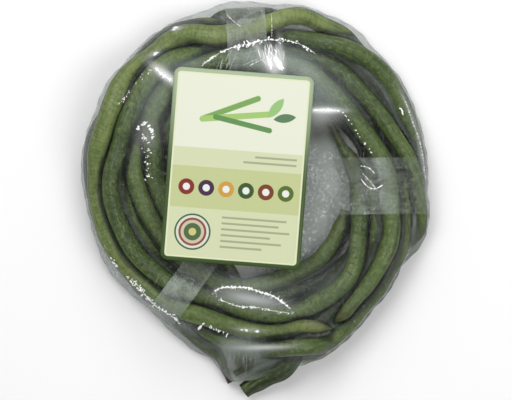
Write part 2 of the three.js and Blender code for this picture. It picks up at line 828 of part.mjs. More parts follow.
// Where each skin vertex goes so that every face beside it moves out by the same distance
function offsetSkin(skin, faces, distance) {
  const normals = skin.map(() => []);
  faces.forEach((face) => {
    const [a, b, c] = face.map((at) => skin[at]);
    const normal = new THREE.Vector3().subVectors(b, a)
      .cross(new THREE.Vector3().subVectors(c, a)).normalize();
    face.forEach((at) => normals[at].push(normal));
  });
  return skin.map((vertex, at) => {
    const mean = normals[at].reduce((sum, n) => sum.add(n), new THREE.Vector3()).normalize();
    const hold = WRAP.evenness * normals[at].length;
    const m = [hold, 0, 0, hold, 0, hold];
    const right = mean.clone().multiplyScalar(hold * distance);
    normals[at].forEach((n) => {
      m[0] += n.x * n.x;
      m[1] += n.x * n.y;
      m[2] += n.x * n.z;
      m[3] += n.y * n.y;
      m[4] += n.y * n.z;
      m[5] += n.z * n.z;
      right.addScaledVector(n, distance);
    });
    const matrix = new THREE.Matrix3().set(m[0], m[1], m[2], m[1], m[3], m[4], m[2], m[4], m[5]);
    return vertex.clone().add(right.applyMatrix3(matrix.invert()));
  });
}

// Edges that only one face has, in that face's direction
function openEdges(faces) {
  const edges = faces.flatMap(([a, b, c]) => [[a, b], [b, c], [c, a]]);
  const known = new Set(edges.map(([from, to]) => `${from}>${to}`));
  return edges.filter(([from, to]) => !known.has(`${to}>${from}`));
}

// A closed sheet of even thickness from a skin with an open mouth
function sheetGeometry(skin, faces, thickness) {
  const outer = offsetSkin(skin, faces, thickness);
  const count = skin.length;
  const all = faces.map((face) => face.map((at) => at + count));
  faces.forEach(([a, b, c]) => all.push([a, c, b]));
  openEdges(faces).forEach(([from, to]) => {
    all.push([from, to, to + count], [from, to + count, from + count]);
  });
  const positions = [...skin, ...outer].flatMap((point) => [point.x, point.y, point.z]);
  return { geometry: indexedGeometry(positions, all.flat()), outer };
}

function labelOutline() {
  const { width, height, corner } = LABEL;
  const right = width / 2;
  const top = height / 2;
  const shape = new THREE.Shape();
  shape.moveTo(corner - right, -top);
  shape.lineTo(right - corner, -top);
  shape.absarc(right - corner, corner - top, corner, -Math.PI / 2, 0);
  shape.lineTo(right, top - corner);
  shape.absarc(right - corner, top - corner, corner, 0, Math.PI / 2);
  shape.lineTo(corner - right, top);
  shape.absarc(corner - right, top - corner, corner, Math.PI / 2, Math.PI);
  shape.lineTo(-right, corner - top);
  shape.absarc(corner - right, corner - top, corner, Math.PI, 1.5 * Math.PI);
  return shape;
}

function underLabel(point, margin) {
  const turn = -LABEL.turn * DEGREE;
  const x = point.x - LABEL.middle[0];
  const y = point.y - LABEL.middle[1];
  const across = Math.abs(x * Math.cos(turn) - y * Math.sin(turn));
  const up = Math.abs(x * Math.sin(turn) + y * Math.cos(turn));
  return across < LABEL.width / 2 + margin && up < LABEL.height / 2 + margin;
}

// Points of a flat field under the label, which the front sheet is stretched over
function labelBed(height) {
  const right = LABEL.width / 2 - LABEL.bedInset;
  const top = LABEL.height / 2 - LABEL.bedInset;
  const middle = new THREE.Vector3(LABEL.middle[0], LABEL.middle[1], 0);
  const points = [];
  for (let across = -right; across <= right; across += LABEL.bedStep) {
    for (let up = -top; up <= top; up += LABEL.bedStep) {
      const point = new THREE.Vector3(across, up, height);
      points.push(point.applyAxisAngle(UP, LABEL.turn * DEGREE).add(middle));
    }
  }
  return points;
}

function labelGeometry() {
  const options = { depth: LABEL_THICK, bevelEnabled: false, curveSegments: 5 };
  return welded(new THREE.ExtrudeGeometry(labelOutline(), options));
}

const bunch = new THREE.Group();

function addPiece(name, geometry, material) {
  const mesh = new THREE.Mesh(geometry, material);
  mesh.name = name;
  bunch.add(mesh);
  return mesh;
}

const strands = PODS.map(layOut);
settle(strands);
const podGeometries = strands.map(podGeometry);
PODS.forEach((pod, k) => addPiece(pod.name, podGeometries[k], POD_MATERIAL));

const podPoints = podGeometries.flatMap((geometry) => pointsOnEdges(geometry, WRAP.podStep));
const tapeGeometries = TAPES.map((tape) => tapeGeometry(tape, podPoints));
TAPES.forEach((tape, k) => addPiece(tape.name, tapeGeometries[k], TAPE_MATERIAL));

const tapePoints = tapeGeometries.flatMap((geometry) => pointsOnEdges(geometry, WRAP.tapeStep));
const packed = [...podPoints, ...tapePoints];
const underneath = packed.filter((point) => underLabel(point, 0));
const bedHeight = Math.max(...underneath.map((point) => point.z));
const reaches = wrapReaches(packed);
const front = frontGrid(reaches);
drawTaut(front, reaches, [...packed, ...labelBed(bedHeight)]);
const { skin, faces } = wrapSkin(front, reaches);
const wrap = sheetGeometry(skin, faces, FILM_THICK);
addPiece('wrap', wrap.geometry, FILM_MATERIAL);

const label = addPiece('label', labelGeometry(), LABEL_MATERIAL);
const sheetUnder = wrap.outer.filter((point) => underLabel(point, LABEL.sheetMargin));
const sheetTop = Math.max(...sheetUnder.map((point) => point.z));
label.rotation.z = LABEL.turn * DEGREE;
label.position.set(LABEL.middle[0], LABEL.middle[1], sheetTop + GAP);

export default bunch;
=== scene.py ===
# %% [markdown]
# # A coiled bunch of yardlong beans
#
# Thirteen long pods are coiled into a flat ring. Three bands of clear tape bind them, a sheet of
# clear film wraps the lot, and a printed label is stuck on top.
#
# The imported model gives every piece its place. This script reads the pods' middle lines from it,
# gives each pod a fine skin, drapes a fine film over them, and adds the finishes and the light.

import bpy
import numpy as np
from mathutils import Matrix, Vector


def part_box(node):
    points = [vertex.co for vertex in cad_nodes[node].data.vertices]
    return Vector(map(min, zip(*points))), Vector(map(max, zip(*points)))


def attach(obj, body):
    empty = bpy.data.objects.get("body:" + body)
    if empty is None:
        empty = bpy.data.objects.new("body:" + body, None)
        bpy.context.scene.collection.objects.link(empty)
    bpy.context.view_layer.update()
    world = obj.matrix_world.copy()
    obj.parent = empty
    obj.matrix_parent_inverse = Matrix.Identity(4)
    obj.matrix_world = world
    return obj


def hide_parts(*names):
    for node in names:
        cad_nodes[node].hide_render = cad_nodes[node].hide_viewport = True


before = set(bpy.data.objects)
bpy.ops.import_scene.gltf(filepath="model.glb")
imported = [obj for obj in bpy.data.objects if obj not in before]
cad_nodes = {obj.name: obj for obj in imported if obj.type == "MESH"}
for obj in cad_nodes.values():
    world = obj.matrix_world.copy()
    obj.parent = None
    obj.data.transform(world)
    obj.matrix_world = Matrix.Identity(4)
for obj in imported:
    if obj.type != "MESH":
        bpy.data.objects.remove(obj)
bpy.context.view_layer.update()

MM = 0.001
FULL_TURN = 2 * np.pi
pod_names = sorted(name for name in cad_nodes if name.startswith("bean_"))
print("pods", len(pod_names))

# %% [markdown]
# ## Surfaces from arrays
#
# Every new piece is a grid of points, worked out as one array. Neighbouring rows and columns are
# joined by four-sided faces, and a row that shrinks to a point is closed by a fan of triangles.


# %% Grids, fans and pieces
def grid_quads(rows, columns, first=0, closed=True):
    """Faces between neighbouring rows and columns, whose last column meets the first if closed."""
    row = np.arange(rows - 1)[:, None] * columns + first
    column = np.arange(columns if closed else columns - 1)[None, :]
    beside = (column + 1) % columns
    around = [row + column, row + beside, row + columns + beside, row + columns + column]
    return np.stack(around, axis=-1).reshape(-1, 4)


def fan(middle, row_start, columns, outwards=True):
    """Triangles from one middle point to each side of a closed row."""
    here = row_start + np.arange(columns)
    beside = row_start + (np.arange(columns) + 1) % columns
    middles = np.full(columns, middle)
    order = [middles, here, beside] if outwards else [middles, beside, here]
    return np.stack(order, axis=-1)


def triangles_in(piece):
    """How many triangles a piece has, when a face of n corners counts as n - 2."""
    return len(piece.data.loops) - 2 * len(piece.data.polygons)


def new_piece(name, points, faces, values=None):
    """Makes an object from points (n, 3) and arrays of faces, with named values for its points."""
    mesh = bpy.data.meshes.new(name)
    corners = np.concatenate([part.ravel() for part in faces]).astype(np.int32)
    sizes = np.concatenate([np.full(len(part), part.shape[1]) for part in faces])
    starts = (np.cumsum(sizes) - sizes).astype(np.int32)
    mesh.vertices.add(len(points))
    mesh.vertices.foreach_set("co", np.asarray(points, np.float32).ravel())
    mesh.loops.add(len(corners))
    mesh.loops.foreach_set("vertex_index", corners)
    mesh.polygons.add(len(sizes))
    mesh.polygons.foreach_set("loop_start", starts)
    mesh.update(calc_edges=True)
    mesh.validate()
    mesh.shade_smooth()
    for key, value in (values or {}).items():
        kind, field = ("FLOAT_VECTOR", "vector") if np.ndim(value) == 2 else ("FLOAT", "value")
        layer = mesh.attributes.new(key, kind, "POINT")
        layer.data.foreach_set(field, np.asarray(value, np.float32).ravel())
    piece = bpy.data.objects.new(name, mesh)
    bpy.context.scene.collection.objects.link(piece)
    return piece


# %% [markdown]
# ## Where each pod runs
#
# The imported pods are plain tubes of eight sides. A walk over the mesh from the pointed tip meets
# one ring after another, so the rings' middles and sizes give back the pod's course. A smooth
# curve through them then carries as fine a skin as the picture needs.


# %% Read a pod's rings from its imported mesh
RING_SIDES = 8
SAME_PLACE = 1e-6


def merged_mesh(node):
    """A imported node's separate places (n, 3) and its triangles, as indices of those places."""
    mesh = cad_nodes[node].data
    mesh.calc_loop_triangles()
    corners = np.empty(len(mesh.vertices) * 3)
    mesh.vertices.foreach_get("co", corners)
    triangles = np.empty(len(mesh.loop_triangles) * 3, np.int32)
    mesh.loop_triangles.foreach_get("vertices", triangles)
    corners = corners.reshape(-1, 3)
    keys = np.round(corners / SAME_PLACE).astype(np.int64)
    _, first, place = np.unique(keys, axis=0, return_index=True, return_inverse=True)
    return corners[first], place.ravel()[triangles].reshape(-1, 3)


def pod_rings(node):
    """Middles (n, 3) and radii (n) of a pod's rings from stem to tip, the tip being a point."""
    places, triangles = merged_mesh(node)
    joined = np.zeros((len(places), len(places)), bool)
    for one, other in ((0, 1), (1, 2), (2, 0)):
        joined[triangles[:, one], triangles[:, other]] = True
        joined[triangles[:, other], triangles[:, one]] = True
    ends = np.flatnonzero(joined.sum(1) == RING_SIDES)
    pointedness = [np.linalg.norm(places[end] - places[joined[end]].mean(0)) for end in ends]
    tip = ends[int(np.argmax(pointedness))]
    middles, radii = [places[tip]], [0.0]
    seen = np.zeros(len(places), bool)
    seen[tip] = True
    ring = joined[tip].copy()
    while ring.sum() == RING_SIDES:
        middle = places[ring].mean(0)
        middles.append(middle)
        radii.append(np.linalg.norm(places[ring] - middle, axis=1).mean())
        seen |= ring
        ring = joined[ring].any(0) & ~seen
    return np.array(middles[::-1]), np.array(radii[::-1])


rings = {name: pod_rings(name) for name in pod_names}
print("rings per pod", [len(rings[name][1]) for name in pod_names])


# %% A smooth curve through the rings
def smooth_through(knots, values, at):
    """Natural cubic spline: through the values at the knots, with even bending between them."""
    gaps = np.diff(knots)
    slopes = np.diff(values, axis=0) / gaps[:, None]
    count = len(knots)
    system = np.eye(count)
    inner = np.arange(1, count - 1)
    system[inner, inner - 1] = gaps[:-1]
    system[inner, inner] = 2 * (gaps[:-1] + gaps[1:])
    system[inner, inner + 1] = gaps[1:]
    right = np.zeros_like(values)
    right[1:-1] = 6 * np.diff(slopes, axis=0)
    bending = np.linalg.solve(system, right)
    piece = np.clip(np.searchsorted(knots, at) - 1, 0, count - 2)
    gap = gaps[piece][:, None]
    ahead = (knots[piece + 1] - at)[:, None]
    behind = (at - knots[piece])[:, None]
    curve = (bending[piece] * ahead**3 + bending[piece + 1] * behind**3) / (6 * gap)
    start = values[piece] / gap - bending[piece] * gap / 6
    end = values[piece + 1] / gap - bending[piece + 1] * gap / 6
    return curve + start * ahead + end * behind


def distances(points):
    """How far along a line each of its points is, from the first one."""
    return np.concatenate([[0], np.cumsum(np.linalg.norm(np.diff(points, axis=0), axis=1))])


def unit(vectors):
    """The same directions with a length of one."""
    return vectors / np.linalg.norm(vectors, axis=-1, keepdims=True)


def bump(offset, width):
    """A smooth bell: 1 where the offset is nothing, fading over the width."""
    return np.exp(-((offset / width) ** 2))


def ramp(value, start, end):
    """0 before the start and 1 after the end, rising smoothly between them."""
    share = np.clip((value - start) / (end - start), 0, 1)
    return share * share * (3 - 2 * share)


def waves(place, longest, count, draw):
    """A gentle random line between about -1 and 1, as a sum of waves of falling length."""
    lengths = longest / np.arange(1, count + 1)
    phases = draw.uniform(0, FULL_TURN, count)
    return sum(np.sin(FULL_TURN * place / length + phase)
               for length, phase in zip(lengths, phases)) / np.sqrt(count)


# %% [markdown]
# ## The skin of a pod
#
# A yardlong pod is nearly round, with a seam along its inner and outer side, soft swellings over
# its seeds and shallow dents between them. The skin is a function of the distance along the pod
# and the angle round it, so all of this is added to the radius by a formula.
#
# The end that was cut dry shrivels into lengthwise folds, and the stem keeps a small collar.

# %% Pod skin
POD_STEP = 1.1 * MM
POD_SIDES = 28
CLOSER_ENDS = 0.12
CALM_END = 40 * MM
TOUCHING = 1.02
SWELL_KEPT = 0.5
OVAL = 0.035
SEAM = {"depth": 0.22 * MM, "width": 0.2}
DENTS = {"depth": 0.014, "length": 46 * MM, "waves": 5}
WOBBLE = {"shift": 0.12 * MM, "length": 70 * MM, "waves": 3}
TWIST = {"turn": 1.2, "length": 260 * MM, "waves": 2}
COLLAR = {"at": 6.5 * MM, "width": 1.5 * MM, "height": 0.5 * MM}
FOLDS = {"length": 60 * MM, "depth": 0.24, "count": 13, "wander": 30 * MM}
THIN_POD = 3 * MM
FOLDED_PODS = ("bean_11",)
SNAPPED_PODS = ("bean_05", "bean_11")


def evened(radii):
    """Ring radii with part of their swelling taken out: each moves towards its neighbours' mean."""
    mean = radii.copy()
    mean[2:-2] = (radii[1:-3] + 2 * radii[2:-2] + radii[3:-1]) / 4
    return mean + SWELL_KEPT * (radii - mean)


def frames_along(line):
    """A sideways and an upward direction at each point of a line, square to its course."""
    course = unit(np.gradient(line, axis=0))
    sideways = unit(np.cross(course, [0, 0, 1]))
    return sideways, np.cross(sideways, course)


def folded_end(along, angle, draw):
    """The dried end's lengthwise folds: a rectified cosine round the pod, fading along it. Gives
    the share added to the radius, and masks of the creases (painted shade) and ridges (painted highlight)."""
    dry = 1 - ramp(along, 0.25 * FOLDS["length"], FOLDS["length"])
    wander = angle - 0.3 * np.sin(2 * angle + 1) + 0.05 * waves(along, FOLDS["wander"], 2, draw)
    fold = np.abs(np.cos(FOLDS["count"] / 2 * wander + 0.4))
    fold = fold * (0.75 + 0.25 * np.sin(3 * angle + 2))
    deeper = FOLDS["depth"] * dry * (fold - 0.6)
    return deeper, dry * ramp(1 - fold, 0.25, 0.85), dry * ramp(fold, 0.7, 1.0)


def pod_skin(name, seed, step=POD_STEP, sides=POD_SIDES):
    """Points (steps, sides, 3) of a pod's skin: each ring stands square to the smooth middle
    line, at the ring radius changed by the seam, the seeds, the dents and the dry end's folds."""
    draw = np.random.default_rng(seed)
    middles, radii = rings[name]
    knots = distances(middles)
    length = knots[-1]
    count = int(length / step)
    eased = length * (0.5 - 0.5 * np.cos(np.linspace(0, np.pi, count)))
    along = CLOSER_ENDS * eased + (1 - CLOSER_ENDS) * np.linspace(0, length, count)
    line = smooth_through(knots, middles, along)
    radius = smooth_through(knots, evened(radii)[:, None], along).clip(0)
    sideways, upward = frames_along(line)
    along = along[:, None]
    inside = ramp(along, 0, CALM_END) * ramp(length - along, 0, CALM_END)
    shift = WOBBLE["shift"] * inside * waves(along, WOBBLE["length"], WOBBLE["waves"], draw)
    line = line + sideways * shift
    angle = np.linspace(0, FULL_TURN, sides, endpoint=False)[None, :]
    start = draw.uniform(0, FULL_TURN)
    turned = angle - start - TWIST["turn"] * waves(along, TWIST["length"], TWIST["waves"], draw)
    dents = DENTS["depth"] * waves(along, DENTS["length"], DENTS["waves"], draw)
    around = 1 + OVAL * np.cos(2 * turned) + dents * inside
    seam = sum(bump(np.sin((turned - side) / 2), SEAM["width"] / 2) for side in (0, np.pi))
    lift = SEAM["depth"] * seam * inside
    crease, ridge = np.zeros_like(seam), np.zeros_like(seam)
    if name not in SNAPPED_PODS:
        lift = lift + COLLAR["height"] * bump(along - COLLAR["at"], COLLAR["width"])
    if name in FOLDED_PODS:
        deeper, crease, ridge = folded_end(along, angle, draw)
        around = around + deeper
    size = radius * TOUCHING * around + lift * np.minimum(1, radius / THIN_POD)
    out = np.cos(angle)[..., None] * sideways[:, None] + np.sin(angle)[..., None] * upward[:, None]
    skin = line[:, None] + out * size[..., None]
    return skin, along, angle, {"seam": seam, "crease": crease, "ridge": ridge}, length


# %% [markdown]
# ## Heights, and painted shade in the hollows
#
# A field of small square cells holds the highest point of all the pods over each. Places that lie
# far below their surroundings are given painted shade, as light hardly reaches them: each place of
# a pod gets a shade value, from 0 on a crest to 1 deep between its neighbours.

# %% The highest point over each place
FIRST_SEED = 5
CELL = 0.8 * MM
HALF_FIELD = 116 * MM
FINE_STEP = 0.45 * MM
FINE_SIDES = 48
LID_CELLS = 3
HOLLOW_SHADE_DEPTHS = (1.3 * MM, 6.0 * MM)


def height_field(points):
    """The highest point in each square cell of the ground, nothing being 0."""
    count = int(2 * HALF_FIELD / CELL)
    column = ((points[:, 0] + HALF_FIELD) / CELL).astype(int)
    row = ((points[:, 1] + HALF_FIELD) / CELL).astype(int)
    field = np.zeros((count, count))
    np.maximum.at(field, (row, column), points[:, 2])
    return field


def between_four(field, row, column, beside, up, across):
    """A value between four neighbours, each counting more the nearer it is."""
    low = field[row, column] * (1 - across) + field[row, beside] * across
    high = field[row + 1, column] * (1 - across) + field[row + 1, beside] * across
    return low * (1 - up) + high * up


def read_field(field, x, y):
    """The field between its cells, by the four nearest cells."""
    column = (x + HALF_FIELD) / CELL - 0.5
    row = (y + HALF_FIELD) / CELL - 0.5
    first_column = np.clip(np.floor(column).astype(int), 0, field.shape[1] - 2)
    first_row = np.clip(np.floor(row).astype(int), 0, field.shape[0] - 2)
    across = np.clip(column - first_column, 0, 1)
    up = np.clip(row - first_row, 0, 1)
    return between_four(field, first_row, first_column, first_column + 1, up, across)


def lid_over(field, cells):
    """The highest value of the field within a number of cells, smoothed a little."""
    for axis in (0, 1):
        field = np.max([np.roll(field, k, axis) for k in range(-cells, cells + 1)], axis=0)
        field = np.mean([np.roll(field, k, axis) for k in (-1, 0, 1)], axis=0)
    return field


fine_skins = [pod_skin(name, order + FIRST_SEED, FINE_STEP, FINE_SIDES)[0].reshape(-1, 3)
              for order, name in enumerate(pod_names)]
pods_alone = height_field(np.concatenate(fine_skins))
lid = lid_over(pods_alone, LID_CELLS)
print("pods' highest mm", round(float(lid.max() / MM), 1))

# %% Make the pods
POD_TONES = {
    "bean_01": 0.76, "bean_02": 0.38, "bean_03": 0.36, "bean_04": 0.38, "bean_05": 0.42,
    "bean_06": 0.34, "bean_07": 0.44, "bean_08": 0.36, "bean_09": 0.30, "bean_10": 0.20,
    "bean_11": 0.20, "bean_12": 0.28, "bean_13": 0.50,
}
BROWN_STEMS = {"bean_12": 1.0, "bean_06": 0.5, "bean_11": 0.12}
LEAST_BROWN = 0.25
POCKED_PODS = {"bean_02": 1.0, "bean_06": 0.5, "bean_01": 0.35}
LEAST_POCKED = 0.12
POD_SPREAD = 0.7
GRAIN_RADIUS = 5 * MM
SUNK = 0.3 * MM


def pod_values(name, order, every, along, angle, marks, length):
    """What a pod's finish reads at each point. "straight" is the place on the pod drawn out
    straight, which stands well apart from the other pods' so that no two have the same pattern."""
    size = (len(along), POD_SIDES)
    straight = np.stack([
        np.broadcast_to(along + POD_SPREAD * order, size),
        np.broadcast_to(GRAIN_RADIUS * np.cos(angle), size),
        np.broadcast_to(GRAIN_RADIUS * np.sin(angle), size),
    ], axis=-1).reshape(-1, 3)
    from_stem = np.concatenate([np.broadcast_to(along, size).ravel(), [0, length]])
    plain = {
        "tone": POD_TONES[name],
        "brown": BROWN_STEMS.get(name, LEAST_BROWN),
        "pocked": POCKED_PODS.get(name, LEAST_POCKED),
    }
    return {
        "straight": np.concatenate([straight, straight[[0, -1]]]),
        "from_stem": from_stem,
        "from_tip": length - from_stem,
        # Painted shade: how far this place lies below the highest pods near it.
        "hollow_shade": ramp(read_field(lid, every[:, 0], every[:, 1]) - every[:, 2], *HOLLOW_SHADE_DEPTHS),
        **{key: np.concatenate([mask.ravel(), [0, 0]]) for key, mask in marks.items()},
        **{key: np.full(len(every), value) for key, value in plain.items()},
    }


pods = {}
pod_places = []
for order, name in enumerate(pod_names):
    skin, *course = pod_skin(name, seed=order + FIRST_SEED)
    steps = len(skin)
    skin[..., 2] = np.maximum(skin[..., 2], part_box(name)[0].z - SUNK)
    every = np.concatenate([skin.reshape(-1, 3), [skin[0].mean(0), skin[-1].mean(0)]])
    faces = [
        grid_quads(steps, POD_SIDES)[:, ::-1],
        fan(steps * POD_SIDES, 0, POD_SIDES, outwards=True),
        fan(steps * POD_SIDES + 1, (steps - 1) * POD_SIDES, POD_SIDES, outwards=False),
    ]
    pods[name] = new_piece("skin_" + name, every, faces, pod_values(name, order, every, *course))
    pod_places.append(every)
all_skin = np.concatenate(pod_places)
print("pod triangles", sum(triangles_in(pod) for pod in pods.values()))

# %% [markdown]
# ## Node helpers
#
# The finishes are mixed from masks: a mask is a number between 0 and 1 that says where something
# shows. A few short functions place the usual nodes and hand back their outputs, so that each
# material below reads as a recipe.


# %% Short ways to place nodes
class Mask:
    """A number that changes over a surface. Masks add, subtract and multiply like plain numbers,
    and each such step places one Math node."""

    def __init__(self, socket):
        self.socket = socket
        self.tree = socket.id_data

    def __add__(self, other):
        return calc("ADD", self, other)

    def __sub__(self, other):
        return calc("SUBTRACT", self, other)

    def __rsub__(self, other):
        return calc("SUBTRACT", other, self)

    def __mul__(self, other):
        return calc("MULTIPLY", self, other)

    __radd__ = __add__
    __rmul__ = __mul__


def join(value, socket):
    """Links an output, or sets a plain value, on a socket."""
    value = value.socket if isinstance(value, Mask) else value
    if isinstance(value, bpy.types.NodeSocket):
        socket.id_data.links.new(value, socket)
    elif isinstance(value, (tuple, list)) and socket.type == "RGBA":
        socket.default_value = (*value[:3], 1)
    else:
        socket.default_value = value


def put(tree, kind, inputs=None, **settings):
    """Places a node with its settings, and fills the input sockets that are named."""
    node = tree.nodes.new(kind)
    for key, value in settings.items():
        setattr(node, key, value)
    for key, value in (inputs or {}).items():
        join(value, node.inputs[key])
    return node


def calc(operation, *inputs, clamp=False):
    """One Math node, in the tree of the first mask among its inputs."""
    tree = next(value.tree for value in inputs if isinstance(value, Mask))
    node = put(tree, "ShaderNodeMath", dict(enumerate(inputs)), operation=operation, use_clamp=clamp)
    return Mask(node.outputs[0])


def vary(mask, low, high):
    """A number that goes from low to high with the mask."""
    node = put(mask.tree, "ShaderNodeMapRange", {"Value": mask, "To Min": low, "To Max": high})
    return Mask(node.outputs[0])


def sharpen(mask, start, end):
    """A mask that rises smoothly from 0 to 1 as the number goes from start to end."""
    inputs = {"Value": mask, "From Min": start, "From Max": end}
    return Mask(put(mask.tree, "ShaderNodeMapRange", inputs, interpolation_type="SMOOTHSTEP").outputs[0])


def blend_colours(mask, under, over):
    """One colour over another, showing by a mask. A Mix node's two colours are sockets 6 and 7."""
    node = put(mask.tree, "ShaderNodeMix", data_type="RGBA")
    for value, socket in ((mask, "Factor"), (under, 6), (over, 7)):
        join(value, node.inputs[socket])
    return node.outputs[2]


def noise(place, scale, detail=3.0, roughness=0.5, distortion=0.0):
    """A soft cloud pattern between 0 and 1, with about scale lumps to the metre."""
    inputs = {"Vector": place, "Scale": scale, "Detail": detail, "Roughness": roughness,
              "Distortion": distortion}
    return Mask(put(place.id_data, "ShaderNodeTexNoise", inputs).outputs["Fac"])


def stretched(place, scale):
    """The same place with each axis scaled, so that a pattern's grain runs along one of them."""
    return put(place.id_data, "ShaderNodeMapping", {"Vector": place, "Scale": scale}).outputs[0]


def given(tree, name):
    """A named number that the piece's points carry."""
    return Mask(put(tree, "ShaderNodeAttribute", attribute_name=name).outputs["Fac"])


def given_place(tree, name):
    """A named place that the piece's points carry."""
    return put(tree, "ShaderNodeAttribute", attribute_name=name).outputs["Vector"]


def new_material(name):
    """An empty finish and its node tree."""
    material = bpy.data.materials.new(name)
    material.use_nodes = True
    material.node_tree.nodes.clear()
    return material, material.node_tree


def finish_with(tree, shader):
    """The shader that the surface shows in the end."""
    put(tree, "ShaderNodeOutputMaterial", {"Surface": shader})


# %% Layers and colours
EDGE_STEEPNESS = 4.0


def grey(level):
    """A colour with the same light in red, green and blue."""
    return (level, level, level)


def from_screen(red, green, blue):
    """A colour given as it shows on a screen, 0 to 255, as the light that the shader needs."""
    share = np.array([red, green, blue]) / 255
    light = np.where(share > 0.04045, ((share + 0.055) / 1.055) ** 2.4, share / 12.92)
    return tuple(float(value) for value in light)


def raised(height, strength, distance):
    """A normal that shades the surface as if it had this height, without moving it."""
    inputs = {"Strength": strength, "Distance": distance, "Height": height}
    return put(height.tree, "ShaderNodeBump", inputs).outputs[0]


def matt_layer(tree, colour):
    """A plain layer that scatters light evenly, without gloss."""
    return put(tree, "ShaderNodeBsdfDiffuse", {"Color": colour}).outputs[0]


def laid_over(share, under, over):
    """One shader over another, showing by a share."""
    return put(share.tree, "ShaderNodeMixShader", {0: share, 1: under, 2: over}).outputs[0]


def clear_sheet(normal, least, most, roughness, tint):
    """A clear layer that lets light through and mirrors it: least face on, most at a glance."""
    tree = normal.id_data
    gloss = put(tree, "ShaderNodeBsdfGlossy", {"Roughness": roughness, "Normal": normal})
    clear = put(tree, "ShaderNodeBsdfTransparent", {"Color": grey(tint)})
    facing = put(tree, "ShaderNodeLayerWeight", {"Blend": 0.5, "Normal": normal})
    steep = calc("POWER", Mask(facing.outputs["Facing"]), EDGE_STEEPNESS)
    return laid_over(vary(steep, least, most), clear.outputs[0], gloss.outputs[0])


print("white on a screen needs light", from_screen(255, 255, 255))

# %% [markdown]
# ## Crinkles, a group that film and tape share
#
# Thin film creases along sharp, wandering lines. The places where a soft noise passes through its
# middle value form just such lines, so a mask is made from how near the noise is to that value.
# Two sizes of it are added, and the group puts out a height for bumps and a mask of the ridges.


# %% Crinkle group
CRINKLE_BEND = 0.6
FINE_HEIGHT = 0.45
FINE_RIDGES = 0.8


def crinkle_group():
    """Each ridge is exp(-sharpness * |noise - 0.5|): 1 where the noise passes its middle value."""
    group = bpy.data.node_groups.new("Crinkles", "ShaderNodeTree")
    face = group.interface
    face.new_socket("Place", in_out="INPUT", socket_type="NodeSocketVector")
    for label, start in (("Coarse", 120.0), ("Fine", 420.0), ("Sharpness", 14.0)):
        socket = face.new_socket(label, in_out="INPUT", socket_type="NodeSocketFloat")
        socket.default_value = start
    face.new_socket("Height", in_out="OUTPUT", socket_type="NodeSocketFloat")
    face.new_socket("Ridges", in_out="OUTPUT", socket_type="NodeSocketFloat")
    inside = put(group, "NodeGroupInput").outputs
    sharpness = Mask(inside["Sharpness"])
    masks = []
    for size, detail in (("Coarse", 2.0), ("Fine", 3.0)):
        cloud = noise(inside["Place"], inside[size], detail, distortion=CRINKLE_BEND)
        masks.append(calc("EXPONENT", calc("ABSOLUTE", cloud - 0.5) * sharpness * -1.0))
    height = masks[0] + masks[1] * FINE_HEIGHT
    ridges = calc("MAXIMUM", masks[0], masks[1] * FINE_RIDGES)
    put(group, "NodeGroupOutput", {"Height": height, "Ridges": ridges})
    return group


CRINKLES = crinkle_group()
print("group", CRINKLES.name, "nodes", len(CRINKLES.nodes))


def crinkles(place, coarse, fine, sharpness):
    """Places the crinkle group and returns its height and its ridges."""
    inputs = {"Place": place, "Coarse": coarse, "Fine": fine, "Sharpness": sharpness}
    node = put(place.id_data, "ShaderNodeGroup", inputs, node_tree=CRINKLES)
    return Mask(node.outputs["Height"]), Mask(node.outputs["Ridges"])


# %% [markdown]
# ## Pod finish
#
# The skin is a dull mid green. Long soft streaks run along the pod, paler where it has swollen
# over its seeds, and fine specks pepper it. The tip darkens to olive brown and the cut stem has
# dried to brown. Painted shade darkens the places deep between pods, the furrows of the fine
# wrinkles and the dry end's creases, and a painted highlight lightens the dry end's fold ridges.
# All patterns read the pod's own straightened coordinates, so that they follow every bend.

# %% Pod material
DEEP_GREEN = from_screen(42, 58, 30)
MID_GREEN = from_screen(80, 100, 48)
PALE_GREEN = from_screen(134, 148, 86)
SPECK_GREEN = from_screen(28, 40, 22)
HOLLOW_SHADE_DARK = from_screen(18, 26, 14)
TIP_OLIVE = from_screen(62, 60, 30)
STEM_BROWN = from_screen(62, 44, 36)
TIP_REACH = (1 * MM, 22 * MM)
STEM_REACH = (5 * MM, 18 * MM)


def grain(straight, along, around, detail, roughness=0.5):
    """Noise on the straightened pod, with so many lumps to the metre along it and round it."""
    return noise(stretched(straight, (along, around, around)), 1.0, detail, roughness)


